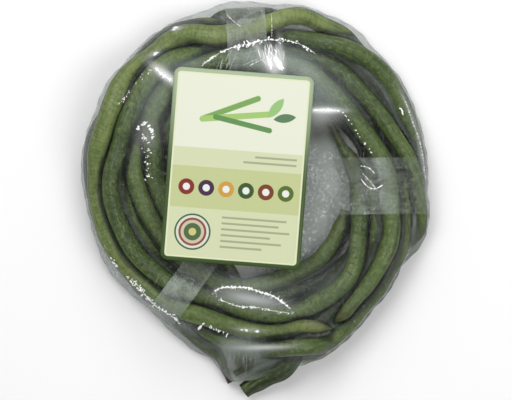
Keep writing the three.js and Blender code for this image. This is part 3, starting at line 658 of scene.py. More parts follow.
def pod_material():
    """Layers of colour laid one over the other, each by its own mask, from deep green up."""
    material, tree = new_material("Pod skin")
    straight = given_place(tree, "straight")
    patches = grain(straight, 22, 60, detail=2.0)
    streaks = grain(straight, 90, 620, detail=4.0)
    mottle = grain(straight, 420, 700, detail=5.0, roughness=0.65)
    specks = grain(straight, 900, 1300, detail=1.0)
    wrinkles = grain(straight, 950, 170, detail=2.0)
    pocks = sharpen(grain(straight, 620, 260, detail=1.0), 0.63, 0.71) * given(tree, "pocked") * 0.6
    shade = given(tree, "tone") + (patches - 0.5) * 1.1 + (streaks - 0.5) * 0.6
    near_tip = 1.0 - sharpen(given(tree, "from_tip"), *TIP_REACH)
    near_stem = 1.0 - sharpen(given(tree, "from_stem"), *STEM_REACH)
    layers = [
        (sharpen(shade, 0.0, 0.55), MID_GREEN),
        (sharpen(shade, 0.45, 1.15), PALE_GREEN),
        (sharpen(mottle, 0.46, 0.7) * 0.5, PALE_GREEN),
        (sharpen(specks, 0.62, 0.7) * 0.4, SPECK_GREEN),
        (pocks, SPECK_GREEN),
        # Painted highlight on the dry end's fold ridges, and painted shade in its creases.
        (given(tree, "ridge") * 0.5, PALE_GREEN),
        (given(tree, "crease") * 0.75, SPECK_GREEN),
        (given(tree, "seam") * 0.22, DEEP_GREEN),
        (near_tip * 0.75, TIP_OLIVE),
        (near_stem * given(tree, "brown"), STEM_BROWN),
        # Painted shade in the furrows of the fine crosswise wrinkles.
        (sharpen(wrinkles, 0.56, 0.40) * 0.22, SPECK_GREEN),
        # Painted shade deep between the pods, where light hardly reaches.
        (given(tree, "hollow_shade") * 0.86, HOLLOW_SHADE_DARK),
    ]
    colour = DEEP_GREEN
    for mask, paint in layers:
        colour = blend_colours(mask, colour, paint)
    height = mottle * 0.6 + streaks * 0.4 + wrinkles - pocks * 0.6
    skin = put(tree, "ShaderNodeBsdfPrincipled", {
        "Base Color": colour,
        "Roughness": vary(mottle, 0.36, 0.54),
        "Specular IOR Level": 0.32,
        "Normal": raised(height, 0.55, 0.5 * MM),
    })
    finish_with(tree, skin.outputs[0])
    return material


POD_SKIN = pod_material()
for name, pod in pods.items():
    pod.data.materials.append(POD_SKIN)
    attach(pod, "root")
    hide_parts(name)
print("nodes in the pod's finish", len(POD_SKIN.node_tree.nodes))

# %% [markdown]
# ## Tape bands
#
# Clear tape was drawn tight round all the pods at three places. Seen end on, a tight band is the
# smallest outline round the pods' section, so at each station across the band's width the outline
# is worked out from how far the pods reach in every direction. The bands are milky, because the
# tape and the glue under it trap air.

# %% How far the pods reach around a band
TAPES = {
    "tape_top": 93.5,
    "tape_right": 0.5,
    "tape_lower_left": 234.0,
}
TAPE_ANGLES = 220
TAPE_STATIONS = 30
TAPE_REACH = 13 * MM
TAPE_CLEAR = 0.12 * MM


def tape_axes(bearing):
    """Directions along the band's bearing and across it."""
    turn = np.radians(bearing)
    return np.array([np.cos(turn), np.sin(turn), 0]), np.array([-np.sin(turn), np.cos(turn), 0])


def tape_width(node, across):
    """A band's two edges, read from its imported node."""
    places, _ = merged_mesh(node)
    sideways = places @ across
    return sideways.min(), sideways.max()


def outline(points, angles):
    """The smallest outline round flat points, touched from each angle in turn."""
    normals = np.stack([np.cos(angles), np.sin(angles)], axis=1)
    reach = (normals @ points.T).max(1) + TAPE_CLEAR
    following = np.roll(reach, -1)
    turn = angles[1] - angles[0]
    along = (following - reach * np.cos(turn)) / np.sin(turn)
    tangents = np.stack([-normals[:, 1], normals[:, 0]], axis=1)
    return normals * reach[:, None] + tangents * along[:, None]


def even_loop(loop, count):
    """The same closed outline with its corners spaced evenly."""
    closed = np.concatenate([loop, loop[:1]])
    far = distances(closed)
    at = np.linspace(0, far[-1], count, endpoint=False)
    return np.stack([np.interp(at, far, closed[:, k]) for k in (0, 1)], axis=1)


def tape_band(node, bearing):
    """Points (stations, angles, 3) of a band, and where its stations stand across it."""
    along, across = tape_axes(bearing)
    low, high = tape_width(node, across)
    stations = np.linspace(low, high, TAPE_STATIONS)
    near = all_skin[(all_skin @ along) > 0]
    angles = np.linspace(0, FULL_TURN, TAPE_ANGLES, endpoint=False)
    sideways = near @ across
    loops = []
    for station in stations:
        part = near[np.abs(sideways - station) < TAPE_REACH]
        flat = np.stack([part @ along, part[:, 2]], axis=1)
        loops.append(even_loop(outline(flat, angles), TAPE_ANGLES))
    loops = np.array(loops)
    loops[..., 1] = np.maximum(loops[..., 1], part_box(node)[0].z)
    points = loops[..., :1] * along + stations[:, None, None] * across
    points[..., 2] += loops[..., 1]
    return points, stations


def unrolled(points, stations):
    """Places on the tape laid out flat: the distance run round the band, and the station across."""
    steps = np.linalg.norm(np.diff(points, axis=1, prepend=points[:, -1:]), axis=2)
    far = np.cumsum(steps, axis=1)
    across = np.broadcast_to(stations[:, None], far.shape)
    return np.stack([far, across, np.zeros_like(far)], axis=-1).reshape(-1, 3)


# %% [markdown]
# ## Tape finish
#
# Most of what lies under the tape still shows. A milky veil, thicker along the crinkles and in
# faint lengthwise streaks, is laid over it, and the surface keeps a soft gloss.

# %% Tape material
TAPE_MILK = from_screen(172, 182, 172)


def tape_material():
    """A clear sheet under a milky veil, which is thicker in its ridges, clouds and streaks."""
    material, tree = new_material("Clear tape")
    place = given_place(tree, "unrolled")
    height, ridges = crinkles(place, coarse=160.0, fine=520.0, sharpness=20.0)
    normal = raised(height, 0.6, 0.35 * MM)
    sheet = clear_sheet(normal, least=0.03, most=0.6, roughness=0.2, tint=0.97)
    streaks = noise(stretched(place, (60, 900, 60)), 1.0, detail=4.0)
    clouds = sharpen(noise(place, 90.0), 0.35, 0.65)
    veil = (given(tree, "milk") + ridges * 0.2) * vary(clouds, 0.6, 1.3)
    veil = calc("ADD", veil, (streaks - 0.5) * 0.3, clamp=True)
    finish_with(tree, laid_over(veil, sheet, matt_layer(tree, TAPE_MILK)))
    return material


CLEAR_TAPE = tape_material()
print("nodes in the tape's finish", len(CLEAR_TAPE.node_tree.nodes))

# %% Make the tape bands
TAPE_GAP = (0.8 * MM, 4 * MM)
TAPE_GAP_SHARE = 0.6
TAPE_VEILS = {
    "tape_top": {"least": 0.2, "most": 0.3, "at": 86, "spread": 14},
    "tape_right": {"least": 0.04, "most": 0.55, "at": 61, "spread": 9},
    "tape_lower_left": {"least": 0.2, "most": 0.32, "at": 72, "spread": 16},
}


def tape_veil(points, least, most, at, spread):
    """How milky a band is: most at one distance in millimetres from the coil's middle, and less
    where it spans a gap between pods."""
    away = np.hypot(points[..., 0], points[..., 1]) / MM
    gap = points[..., 2] - read_field(lid_over(pods_alone, 1), points[..., 0], points[..., 1])
    stuck = 1 - TAPE_GAP_SHARE * ramp(gap, *TAPE_GAP)
    return ((least + (most - least) * bump(away - at, spread)) * stuck).ravel()


band_places = []
for node, bearing in TAPES.items():
    points, stations = tape_band(node, bearing)
    faces = [grid_quads(TAPE_STATIONS, TAPE_ANGLES)]
    values = {
        "unrolled": unrolled(points, stations),
        "milk": tape_veil(points, **TAPE_VEILS[node]),
    }
    band = new_piece("band_" + node, points.reshape(-1, 3), faces, values)
    band.data.materials.append(CLEAR_TAPE)
    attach(band, "root")
    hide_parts(node)
    band_places.append(points.reshape(-1, 3))
all_bands = np.concatenate(band_places)
print("tape bands", len(band_places))

# %% [markdown]
# ## The film's shape
#
# Film drawn over a lumpy thing touches its high points and spans the hollows between them, as a
# soap skin would. So the sheet starts high, and every point moves to the mean of its neighbours
# again and again, but never below what it lies on. Starting on a coarse grid and refining it makes
# this quick. The grid runs round the coil in columns and from its middle to its rim in rings.

# %% The heights that the film lies on
FILM_CLEAR = 0.25 * MM
pod_field = np.maximum(pods_alone, height_field(all_bands))
print("highest under the film mm", round(float(pod_field.max() / MM), 1))


# %% The label's place, which the film is flat under
LABEL_SIZE = (74 * MM, 102 * MM)
LABEL_MIDDLE = (-9.9 * MM, 9.9 * MM)
LABEL_TURN = np.radians(-4.4)
LABEL_CORNER = 4 * MM
LABEL_INSET = 1.5 * MM
BED_BELOW = 0.1 * MM
label_low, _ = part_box("label")


def on_label(x, y):
    """A ground point's place across and up the label, from its middle."""
    dx, dy = x - LABEL_MIDDLE[0], y - LABEL_MIDDLE[1]
    cos, sin = np.cos(LABEL_TURN), np.sin(LABEL_TURN)
    return dx * cos + dy * sin, dy * cos - dx * sin


def label_bow(across, up):
    """The slight waves of the stuck label: three gentle swells that cross each other."""
    swell = np.sin(across / MM / 17 + 0.6) * np.cos(up / MM / 26)
    return 0.22 * MM * (swell + 0.5 * np.sin(up / MM / 14 + across / MM / 40))


def label_bed(x, y):
    """Height of the film under the label, and far below it elsewhere."""
    across, up = on_label(x, y)
    half = np.array(LABEL_SIZE) / 2 - LABEL_INSET
    under = (np.abs(across) < half[0]) & (np.abs(up) < half[1])
    return np.where(under, label_low.z - BED_BELOW + label_bow(across, up), 0)


print("bed under the label's middle mm", round(float(label_bed(*LABEL_MIDDLE) / MM), 1))


# %% The rim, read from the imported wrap
MOUTH = (255.0, 285.0)
RIM_STEP = 7.5
RIM_INSET = 0.4 * MM
RIM_WAVE = 0.3 * MM
RIM_SPAN = 3
RIM_ROOM = 1.2 * MM
RIM_SLACK = [(212, 13, 3.4), (97, 12, 3.0), (60, 12, 1.5), (148, 8, 1.5), (238, 8, 1.0), (322, 7, 0.8)]
RIM_BAND = 1.2 * MM
RIM_DROP = 0.5 * MM


def rim_of_wrap():
    """At each of the wrap's columns, how far out its rim stands and how high its front is there."""
    places, _ = merged_mesh("wrap")
    turns = np.degrees(np.arctan2(places[:, 1], places[:, 0])) % 360
    distance = np.hypot(places[:, 0], places[:, 1])
    stops = np.arange(0, 360, RIM_STEP)
    reach, level = [], []
    for stop in stops:
        near = np.abs((turns - stop + 180) % 360 - 180) < 0.4 * RIM_STEP
        furthest = distance[near].max()
        reach.append(furthest)
        level.append(places[near & (distance > furthest - RIM_BAND), 2].max())
    return stops, np.array(reach), np.array(level)


rim_stops, rim_far, rim_high = rim_of_wrap()


def round_the_rim(bearings, stops, values):
    """Values listed at some bearings, read between them all the way round."""
    wrapped = np.concatenate([np.asarray(stops) - 360, stops, np.asarray(stops) + 360])
    return np.interp(bearings, wrapped, np.tile(values, 3))


def drawn_in_rim():
    """How far out the rim stands at each whole bearing: as far as the pods beside it reach, with a
    little room, more where the film is slack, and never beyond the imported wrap."""
    turns = np.degrees(np.arctan2(all_skin[:, 1], all_skin[:, 0])) % 360
    reach = np.zeros(360)
    np.maximum.at(reach, turns.astype(int) % 360, np.hypot(all_skin[:, 0], all_skin[:, 1]))
    reach = np.max([np.roll(reach, k) for k in range(-RIM_SPAN, RIM_SPAN + 1)], axis=0)
    reach = np.mean([np.roll(reach, k) for k in range(-RIM_SPAN, RIM_SPAN + 1)], axis=0)
    whole = np.arange(360)
    slack = sum(out * MM * bump((whole - at + 180) % 360 - 180, spread) for at, spread, out in RIM_SLACK)
    packed = round_the_rim(whole, rim_stops, rim_far)
    drawn = np.minimum(reach + RIM_ROOM + slack, packed)
    return drawn + (packed - drawn) * in_mouth(whole)


def rim_reach(bearings):
    """How far out the rim stands at each bearing, with small waves in it."""
    waves_round = np.sin(np.radians(bearings) * 41) + np.sin(np.radians(bearings) * 67 + 1)
    reach = round_the_rim(bearings, np.arange(360), rim_drawn)
    return reach - RIM_INSET + RIM_WAVE * (waves_round / 2 - 1)


def in_mouth(bearings):
    """1 in the wrap's open mouth at the tail, fading to 0 just outside it."""
    middle = np.mean(MOUTH)
    half = (MOUTH[1] - MOUTH[0]) / 2
    return 1 - ramp(np.abs(bearings - middle), 0.75 * half, 1.15 * half)


rim_drawn = drawn_in_rim()
print("rim mm", np.round(rim_drawn.min() / MM, 1), "to", np.round(rim_drawn.max() / MM, 1))

# %% Draw the film down over everything
FILM_RINGS = 168
FILM_COLUMNS = 432
FILM_LEVELS = ((4, 260), (2, 200), (1, 160))
RING_POWER = 1.25
START_HEIGHT = label_low.z
OVERSHOOT = 1.7


def ring_shares(count):
    """Shares of the rim's reach at which rings stand, closer together towards the rim."""
    return 1 - (1 - np.arange(1, count + 1) / count) ** RING_POWER


def film_ground(rings_count, columns):
    """The grid's bearings, distances from the middle, and places on the ground."""
    bearings = np.arange(columns) * 360 / columns
    reach = rim_reach(bearings)
    distance = ring_shares(rings_count)[:, None] * reach[None, :]
    turn = np.radians(bearings)[None, :]
    return bearings, distance, distance * np.cos(turn), distance * np.sin(turn)


def settle(height, lowest, distance, sweeps):
    """Moves each point to the mean of its four neighbours, near ones counting most, but never
    below the lowest height there. The middle is one shared point, and the rim stays."""
    columns = height.shape[1]
    inward = np.diff(distance, axis=0, prepend=0)
    outward = np.roll(inward, -1, axis=0)
    sideways = distance * FULL_TURN / columns
    spread = (inward + outward) / 2
    weights = [1 / (inward * spread), 1 / (outward * spread), 1 / sideways**2]
    total = weights[0] + weights[1] + 2 * weights[2]
    parity = np.add.outer(np.arange(height.shape[0]), np.arange(columns)) % 2
    fixed = np.zeros_like(height, bool)
    fixed[-1] = True
    for _ in range(sweeps):
        for half in (0, 1):
            middle = height[0].mean()
            inner = np.vstack([np.full(columns, middle), height[:-1]])
            outer = np.vstack([height[1:], height[-1:]])
            beside = np.roll(height, 1, axis=1) + np.roll(height, -1, axis=1)
            mean = (weights[0] * inner + weights[1] * outer + weights[2] * beside) / total
            moved = np.maximum(height + OVERSHOOT * (mean - height), lowest)
            height = np.where((parity == half) & ~fixed, moved, height)
    return height


def film_heights():
    """The settled heights of the finest grid, each grid starting from the coarser one before it."""
    height = None
    for shrink, sweeps in FILM_LEVELS:
        rings_count, columns = FILM_RINGS // shrink, FILM_COLUMNS // shrink
        bearings, distance, x, y = film_ground(rings_count, columns)
        lowest = np.maximum(read_field(pod_field, x, y) + FILM_CLEAR, label_bed(x, y))
        rim = round_the_rim(bearings, rim_stops, rim_high) - RIM_DROP
        if height is None:
            height = np.full((rings_count, columns), START_HEIGHT)
        else:
            height = np.repeat(np.repeat(height, 2, axis=0), 2, axis=1)[:rings_count, :columns]
        height[-1] = np.maximum(rim, lowest[-1])
        height = settle(np.maximum(height, lowest), lowest, distance, sweeps)
    return height, bearings, distance, x, y


film_height, film_bearings, film_distance, film_x, film_y = film_heights()
print("film highest mm", round(float(film_height.max() / MM), 1))

# %% [markdown]
# ## Folds in the film
#
# A drawn film is smooth where it is taut and folded where it was gathered. Each fold is a low
# ridge, long and narrow. They are scattered with a fixed seed over the slack places, and at the
# tail they all run down towards the mouth, where the film was gathered round the pod ends.


# %% Short folds scattered with a fixed seed
def scattered_folds(x, y, area, count, length, width, height, heading, spread, seed):
    """The rise of many short ridges in an area (x, y, reach), running near one heading."""
    draw = np.random.default_rng(seed)
    middle_x, middle_y, reach = area
    rise = np.zeros_like(x)
    for _ in range(count):
        turn = draw.uniform(0, FULL_TURN)
        far = reach * np.sqrt(draw.uniform())
        at_x, at_y = middle_x + far * np.cos(turn), middle_y + far * np.sin(turn)
        course = np.radians(heading + spread * draw.normal())
        dx, dy = x / MM - at_x, y / MM - at_y
        along = dx * np.cos(course) + dy * np.sin(course)
        across = dy * np.cos(course) - dx * np.sin(course)
        across = across + 0.04 * draw.normal() * along**2 / length
        size = height * draw.uniform(0.35, 1.0)
        mask = bump(along, 0.5 * length * draw.uniform(0.5, 1.2)) * bump(across, width)
        rise = np.maximum(rise, size * mask)
    return rise * MM


FOLD_PLACES = [
    dict(area=(-8, -99, 15), count=46, length=16, width=0.6, height=0.8, heading=88, spread=9, seed=1),
    dict(area=(42, 10, 26), count=26, length=16, width=0.6, height=0.25, heading=70, spread=50, seed=2),
    dict(area=(10, 68, 22), count=26, length=14, width=0.6, height=0.35, heading=75, spread=25, seed=3),
    dict(area=(-58, -68, 20), count=26, length=14, width=0.7, height=0.4, heading=-45, spread=22, seed=4),
    dict(area=(75, 3, 16), count=12, length=9, width=0.6, height=0.15, heading=80, spread=40, seed=5),
    dict(area=(60, -72, 24), count=24, length=12, width=0.8, height=0.4, heading=-50, spread=30, seed=6),
]
fold_rise = sum(scattered_folds(film_x, film_y, **place) for place in FOLD_PLACES)
film_across, film_up = on_label(film_x, film_y)
label_edge = np.maximum(np.abs(film_across) - LABEL_SIZE[0] / 2, np.abs(film_up) - LABEL_SIZE[1] / 2)
off_label = ramp(label_edge, 0.5 * MM, 3 * MM)
gap_below = film_height - read_field(pod_field, film_x, film_y)
film_share = film_distance / film_distance[-1:]
away_from_rim = 1 - ramp(film_share, 0.97, 1.0)
folded_height = film_height + fold_rise * off_label * away_from_rim
print("highest fold mm", round(float(fold_rise.max() / MM), 2))

# %% [markdown]
# ## Where the film looks hazy
#
# Clear film hides little where it lies tight on a pod. It looks milky where it stands off, where
# it is stretched, and at the skirt round the coil, where it is folded over on itself. So each
# point carries a haze, from 0 to 1, and a painted shade, which darkens that haze where the film
# lies in shadow: most on the lower right of the skirt, on the hanging wall, at the gathered tail
# and under the coil's hole. The skirt's two values were set at a few bearings, and soft oval
# patches add the haze of the stretched places, partly the film's own milkiness and partly a
# painted sheen of the light it mirrors.

# %% Haze and dusk of the front sheet
SKIRT_BEARINGS = [0, 25, 60, 90, 130, 170, 205, 228, 246, 262, 285, 305, 335]
SKIRT_HAZE = [0.45, 0.35, 0.4, 0.4, 0.3, 0.35, 0.38, 0.42, 0.5, 0.5, 0.6, 0.65, 0.6]
# Painted shade of the skirt's haze at each bearing, darkest on the lower right.
SKIRT_HAZE_SHADE = [0.5, 0.4, 0.2, 0.0, 0.1, 0.2, 0.0, 0.05, 0.5, 0.65, 0.8, 0.9, 0.85]
SKIRT_GAP = (3.5 * MM, 11 * MM)
SKIRT_STARTS = (0.83, 0.93)
HAZE_SHADE_STARTS = (0.8, 0.95)
HAZY_RIM = (0.965, 1.0)
FOLD_SHOWS = (0.05 * MM, 0.5 * MM)
SLACK_GAP = (1 * MM, 8 * MM)
LEAST_HAZE = 0.004
RIM_HAZE = 0.2
FOLD_HAZE = 0.1
MOST_SHOWN = 0.95
SPARKLE_SHARE = 0.04

# Some of this haze is the film's milkiness and some a painted sheen of the light it mirrors, so these
# patches paint both.
# Each patch: its middle and two half sizes in millimetres, its turn in degrees, its haze
HAZE_PATCHES = [
    ((11, 67), (19, 7), -4, 0.34),
    ((27, 61), (9, 5), -30, 0.2),
    ((-37.5, 64.5), (12, 3.2), 12, 0.25),
    ((-54, 46), (8, 21), -14, 0.2),
    ((-2, -59.5), (18, 4), -9, 0.42),
    ((-2, -50.5), (17, 4), -6, 0.2),
    ((34, -52), (15, 9), 20, 0.06),
    ((35, 50), (14, 9), -20, 0.3),
    ((36, 40.3), (9, 3), 0, 0.4),
    ((-48, -67.8), (17, 3.2), -38, 0.3),
    ((-14, -85), (20, 2.4), -3, 0.36),
    ((-8, -95), (9, 11), 0, 1.5),
    ((88, 20), (2.4, 34), 14, 0.3),
]
# Painted shade over the gathered film at the tail.
GATHER_SHADE = [((-8, -95), (13, 12), 0, 1.0)]

# Each glint in the same way, with how much of the film it covers
GLARE_SPOTS = [
    ((9.5, 65.5), (6, 4.2), -78, 0.6),
    ((3, 70), (10, 1.6), -58, 0.3),
    ((13, 71), (9, 1.6), -84, 0.28),
    ((-47.5, 58.8), (9, 2.3), -38, 0.75),
    ((37, 40.4), (8, 1.2), 0, 0.85),
    ((35, 37), (9, 4.5), 0, 0.17),
    ((-41.5, 83.9), (3.2, 1.2), 10, 0.3),
    ((-53.8, 70.4), (3.4, 1.4), 20, 0.3),
    ((-57.5, 27), (5, 7), 0, 0.12),
    ((-4, -75.6), (7, 1.1), -4, 0.22),
    ((-3, -58.8), (15, 2.8), -10, 0.26),
    ((80.5, 43), (1.1, 15), 24, 0.16),
    ((88, 14), (1, 18), 10, 0.16),
    ((5, -84.8), (12, 1.3), 2, 0.5),
]


def sum_of_patches(x, y, patches):
    """A sum of oval bells, each at its share in its middle and fading over its two half sizes."""
    total = np.zeros_like(x)
    for at, size, turn, share in patches:
        cos, sin = np.cos(np.radians(turn)), np.sin(np.radians(turn))
        dx, dy = x / MM - at[0], y / MM - at[1]
        along, across = dx * cos + dy * sin, dy * cos - dx * sin
        total = total + share * np.exp(-((along / size[0]) ** 2) - (across / size[1]) ** 2)
    return total


def front_looks():
    """Haze, painted shade, slackness, painted sparkle and painted glare of the front sheet's points."""
    haze_round = round_the_rim(film_bearings, SKIRT_BEARINGS, SKIRT_HAZE)[None, :]
    haze_shade_round = round_the_rim(film_bearings, SKIRT_BEARINGS, SKIRT_HAZE_SHADE)[None, :]
    skirt = ramp(gap_below, *SKIRT_GAP) * ramp(film_share, *SKIRT_STARTS)
    clear = LEAST_HAZE + FOLD_HAZE * ramp(fold_rise, *FOLD_SHOWS) + RIM_HAZE * ramp(film_share, *HAZY_RIM)
    clear = clear + sum_of_patches(film_x, film_y, HAZE_PATCHES)
    haze = clear + (haze_round - clear) * skirt
    # Painted shade: the skirt's by bearing, and the gathered tail's.
    haze_shade = np.maximum(haze_shade_round * ramp(film_share, *HAZE_SHADE_STARTS), sum_of_patches(film_x, film_y, GATHER_SHADE))
    slack = np.clip(0.12 + 0.9 * ramp(gap_below, *SLACK_GAP) + 1.5 * fold_rise / MM, 0, 1)
    glare = sum_of_patches(film_x, film_y, GLARE_SPOTS)
    return {"haze": haze.clip(0, MOST_SHOWN), "haze_shade": haze_shade, "slack": slack, "painted_sparkle": SPARKLE_SHARE * slack,
            "glare": glare.clip(0, MOST_SHOWN)}


looks = front_looks()
print("haze of the front sheet", {key: round(float(value.mean()), 3) for key, value in looks.items()})

# %% [markdown]
# ## The film as one bag
#
# From the front sheet's rim the film hangs down to the back sheet in shallow pleats, except in the
# mouth at the tail, where the pod ends come out. The back sheet lies flat and is crumpled where
# the coil's hole shows it.

# %% Make the film
WALL_LEVELS = np.array([0.8, 0.6, 0.4, 0.2])
# Shares of the front rim's values that the wall takes: all its painted shade and slackness, half its haze
# and painted sparkle, and none of its painted glare.
WALL_LOOKS = {"haze": 0.5, "haze_shade": 1.0, "slack": 1.0, "painted_sparkle": 0.5, "glare": 0.0}
PLEAT = 0.7 * MM
PLEATS_ROUND = 58
BACK_SHARES = np.array([1.0, 0.985, *np.linspace(0.96, 0.02, 48)])
BACK_HEIGHT = 0.3 * MM
BACK_FOLDS = dict(area=(25, 0, 60), count=150, length=13, width=1.0, height=1.1, heading=40, spread=90,
                  seed=11)
BACK_HAZE = (0.1, 0.64)
HOLE = {"at": (22, -2), "edge": (40, 52)}
DARKER_ABOVE = (17, 30)
SMOOTH_ABOVE = (15, 26)


def hanging_wall():
    """Rows of points from the rim down to the back sheet, drawn in a little between pleats."""
    turn = np.radians(film_bearings)
    low = BACK_HEIGHT + (folded_height[-1:] - BACK_HEIGHT) * WALL_LEVELS[:, None]
    belly = np.sin(np.pi * WALL_LEVELS)[:, None]
    pleats = 0.5 + 0.5 * np.sin(turn * PLEATS_ROUND + 2 * np.sin(turn * 7))
    distance = film_distance[-1:] - PLEAT * belly * pleats[None, :]
    return distance * np.cos(turn), distance * np.sin(turn), low


def back_sheet():
    """Points of the back sheet, from the rim to the middle, with low folds scattered over it."""
    turn = np.radians(film_bearings)
    distance = BACK_SHARES[:, None] * film_distance[-1:]
    x, y = distance * np.cos(turn), distance * np.sin(turn)
    folds = scattered_folds(x, y, **BACK_FOLDS)
    return x, y, BACK_HEIGHT + folds * ramp(1 - BACK_SHARES, 0.02, 0.1)[:, None]


def back_looks(x, y):
    """The back sheet is crumpled and hazy under the coil's hole, with painted sparkle there and
    painted shade that is darkest high up, and nearly clear elsewhere."""
    away = np.hypot(x / MM - HOLE["at"][0], y / MM - HOLE["at"][1])
    under = 1 - ramp(away, *HOLE["edge"])
    haze = BACK_HAZE[0] + (BACK_HAZE[1] - BACK_HAZE[0]) * under
    # Painted shade under the hole, darker high up.
    haze_shade = under * (0.2 + 0.65 * ramp(y / MM, *DARKER_ABOVE))
    smooth = ramp(y / MM, *SMOOTH_ABOVE)
    return {"haze": haze, "haze_shade": haze_shade, "slack": (0.3 + 0.7 * under) * (1 - 0.7 * smooth),
            "painted_sparkle": 0.8 * under * (1 - smooth), "glare": 0 * x}


def film_piece():
    """The front sheet, the wall and the back sheet as one grid from the middle of the front to the
    middle of the back, closed by two fans and open where the mouth takes the wall's faces out."""
    sheets = [(film_x, film_y, folded_height), hanging_wall(), back_sheet()]
    columns = FILM_COLUMNS
    grids = [np.stack(np.broadcast_arrays(*sheet), axis=-1).reshape(-1, 3) for sheet in sheets]
    rows = [len(grid) // columns for grid in grids]
    middles = [[0, 0, sheets[0][2][0].mean()], [0, 0, sheets[2][2][-1].mean()]]
    points = np.concatenate([*grids, middles])
    quads = grid_quads(sum(rows), columns)[:, ::-1]
    row, column = np.divmod(np.arange(len(quads)), columns)
    in_wall = (row >= rows[0] - 1) & (row < rows[0] + rows[1])
    quads = quads[~(in_wall & (in_mouth(film_bearings)[column] > 0.5))]
    last_row = (sum(rows) - 1) * columns
    faces = [quads, fan(len(points) - 2, 0, columns), fan(len(points) - 1, last_row, columns, False)]
    back = back_looks(grids[2][:, 0], grids[2][:, 1])
    values = {}
    for key, value in looks.items():
        wall = WALL_LOOKS[key] * np.tile(value[-1], rows[1])
        values[key] = np.concatenate([value.ravel(), wall, back[key], [value[0].mean(), back[key][-1]]])
    return new_piece("film", points, faces, values)


film = film_piece()
print("film triangles", triangles_in(film))

# %% [markdown]
# ## Film finish
#
# Clear film is seen by what it mirrors and by its haze. The sheet mirrors a few parts in a hundred
# face on and far more at a glancing angle. The haze is a matt layer that shows as much as the
# haze value says, and painted shade darkens its colour. Crumpled film sparkles, so its sparkle is
# painted on as fine white specks where the piece asks, and painted glare spots are laid on in the
# same white.

# %% Film material
HAZE_PALE = from_screen(178, 188, 184)
HAZE_SHADE_DARK = from_screen(60, 70, 46)
SPARKLE_WHITE = grey(0.9)


def film_material():
    """A clear sheet, then haze by its share, darkened by painted shade, then painted sparkle and painted
    glare in white by theirs.
    """
    material, tree = new_material("Clear film")
    place = put(tree, "ShaderNodeTexCoord").outputs["Object"]
    slack = given(tree, "slack")
    height, ridges = crinkles(place, coarse=130.0, fine=430.0, sharpness=24.0)
    normal = raised(height, vary(slack, 0.05, 0.5), 0.5 * MM)
    sheet = clear_sheet(normal, least=0.007, most=0.45, roughness=0.14, tint=0.99)
    # The haze's colour darkens by its painted shade.
    colour = blend_colours(given(tree, "haze_shade"), HAZE_PALE, HAZE_SHADE_DARK)
    haze = given(tree, "haze") * vary(noise(place, 55.0), 0.75, 1.25)
    haze = calc("ADD", haze, ridges * slack * 0.012, clamp=True)
    hazy = laid_over(haze, sheet, matt_layer(tree, colour))
    # Painted sparkle: fine white specks, and lines on the crinkle ridges, in clusters.
    crumbs = sharpen(noise(place, 480.0, roughness=0.7), 0.48, 0.72)
    lines = sharpen(ridges, 0.6, 1.1) * 0.5
    clusters = sharpen(noise(place, 110.0, detail=2.0), 0.35, 0.68)
    sparkle = calc("MAXIMUM", crumbs, lines) * vary(clusters, 0.35, 1.5)
    painted_sparkle = calc("MULTIPLY", sparkle, given(tree, "painted_sparkle"), clamp=True)
    bright = calc("MAXIMUM", painted_sparkle, given(tree, "glare"))
    finish_with(tree, laid_over(bright, hazy, matt_layer(tree, SPARKLE_WHITE)))
    return material


film.data.materials.append(film_material())
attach(film, "root")
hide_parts("wrap")
print("nodes in the film's finish", len(film.data.materials[0].node_tree.nodes))

# %% [markdown]
# ## Tucks with painted highlights
#
# Where film is drawn tight it puckers into rows of tiny tucks, whose sharp edges shine. That shine
# is a painted highlight: each sliver below is matt white, fading to clear at its edges.
# Each tuck is a sliver with a raised middle line: a row of points along a short path, with an
# edge on either side. Long ones follow a fold, and short ones are strewn along a path by a fixed
# seed. A value that is 1 on the middle line and 0 on the edges lets the finish fade out softly.


# %% The film's height anywhere
def film_level(x, y):
    """Height of the front sheet, between its rings and columns."""
    bearing = np.degrees(np.arctan2(y, x)) % 360
    share = np.hypot(x, y) / rim_reach(bearing)
    ring = FILM_RINGS * (1 - (1 - share.clip(0, 0.999)) ** (1 / RING_POWER)) - 1
    ring = ring.clip(0, FILM_RINGS - 1.001)
    column = bearing * FILM_COLUMNS / 360
    low_ring, low_column = ring.astype(int), column.astype(int) % FILM_COLUMNS
    beside = (low_column + 1) % FILM_COLUMNS
    return between_four(folded_height, low_ring, low_column, beside,
                        ring - low_ring, column - column.astype(int))


print("film at the label's middle mm", round(float(film_level(*map(np.array, LABEL_MIDDLE)) / MM), 1))


# %% Slivers along paths
TUCK_STEPS = 9
TUCK_LOW = 0.06 * MM
TUCK_HIGH = 0.2 * MM
TUCK_WIDEN = 1.8
TUCK_FURTHEST = 0.985
THREAD_STEP = 0.35
PATH_PLACES = 400
TUCK_BEND = 0.12


def left_of(course):
    """The direction to the left of each course, on the flat."""
    return np.stack([-course[..., 1], course[..., 0]], axis=-1)


def path_points(line, count):
    """Evenly spaced points along a path through the given points, its course and its length."""
    line = np.asarray(line, float)
    far = distances(line)
    at = np.linspace(0, far[-1], count)
    if len(line) > 2:
        places = smooth_through(far, line, at)
    else:
        places = line[0] + np.outer(at / far[-1], line[1] - line[0])
    return places, unit(np.gradient(places, axis=0)), far[-1]


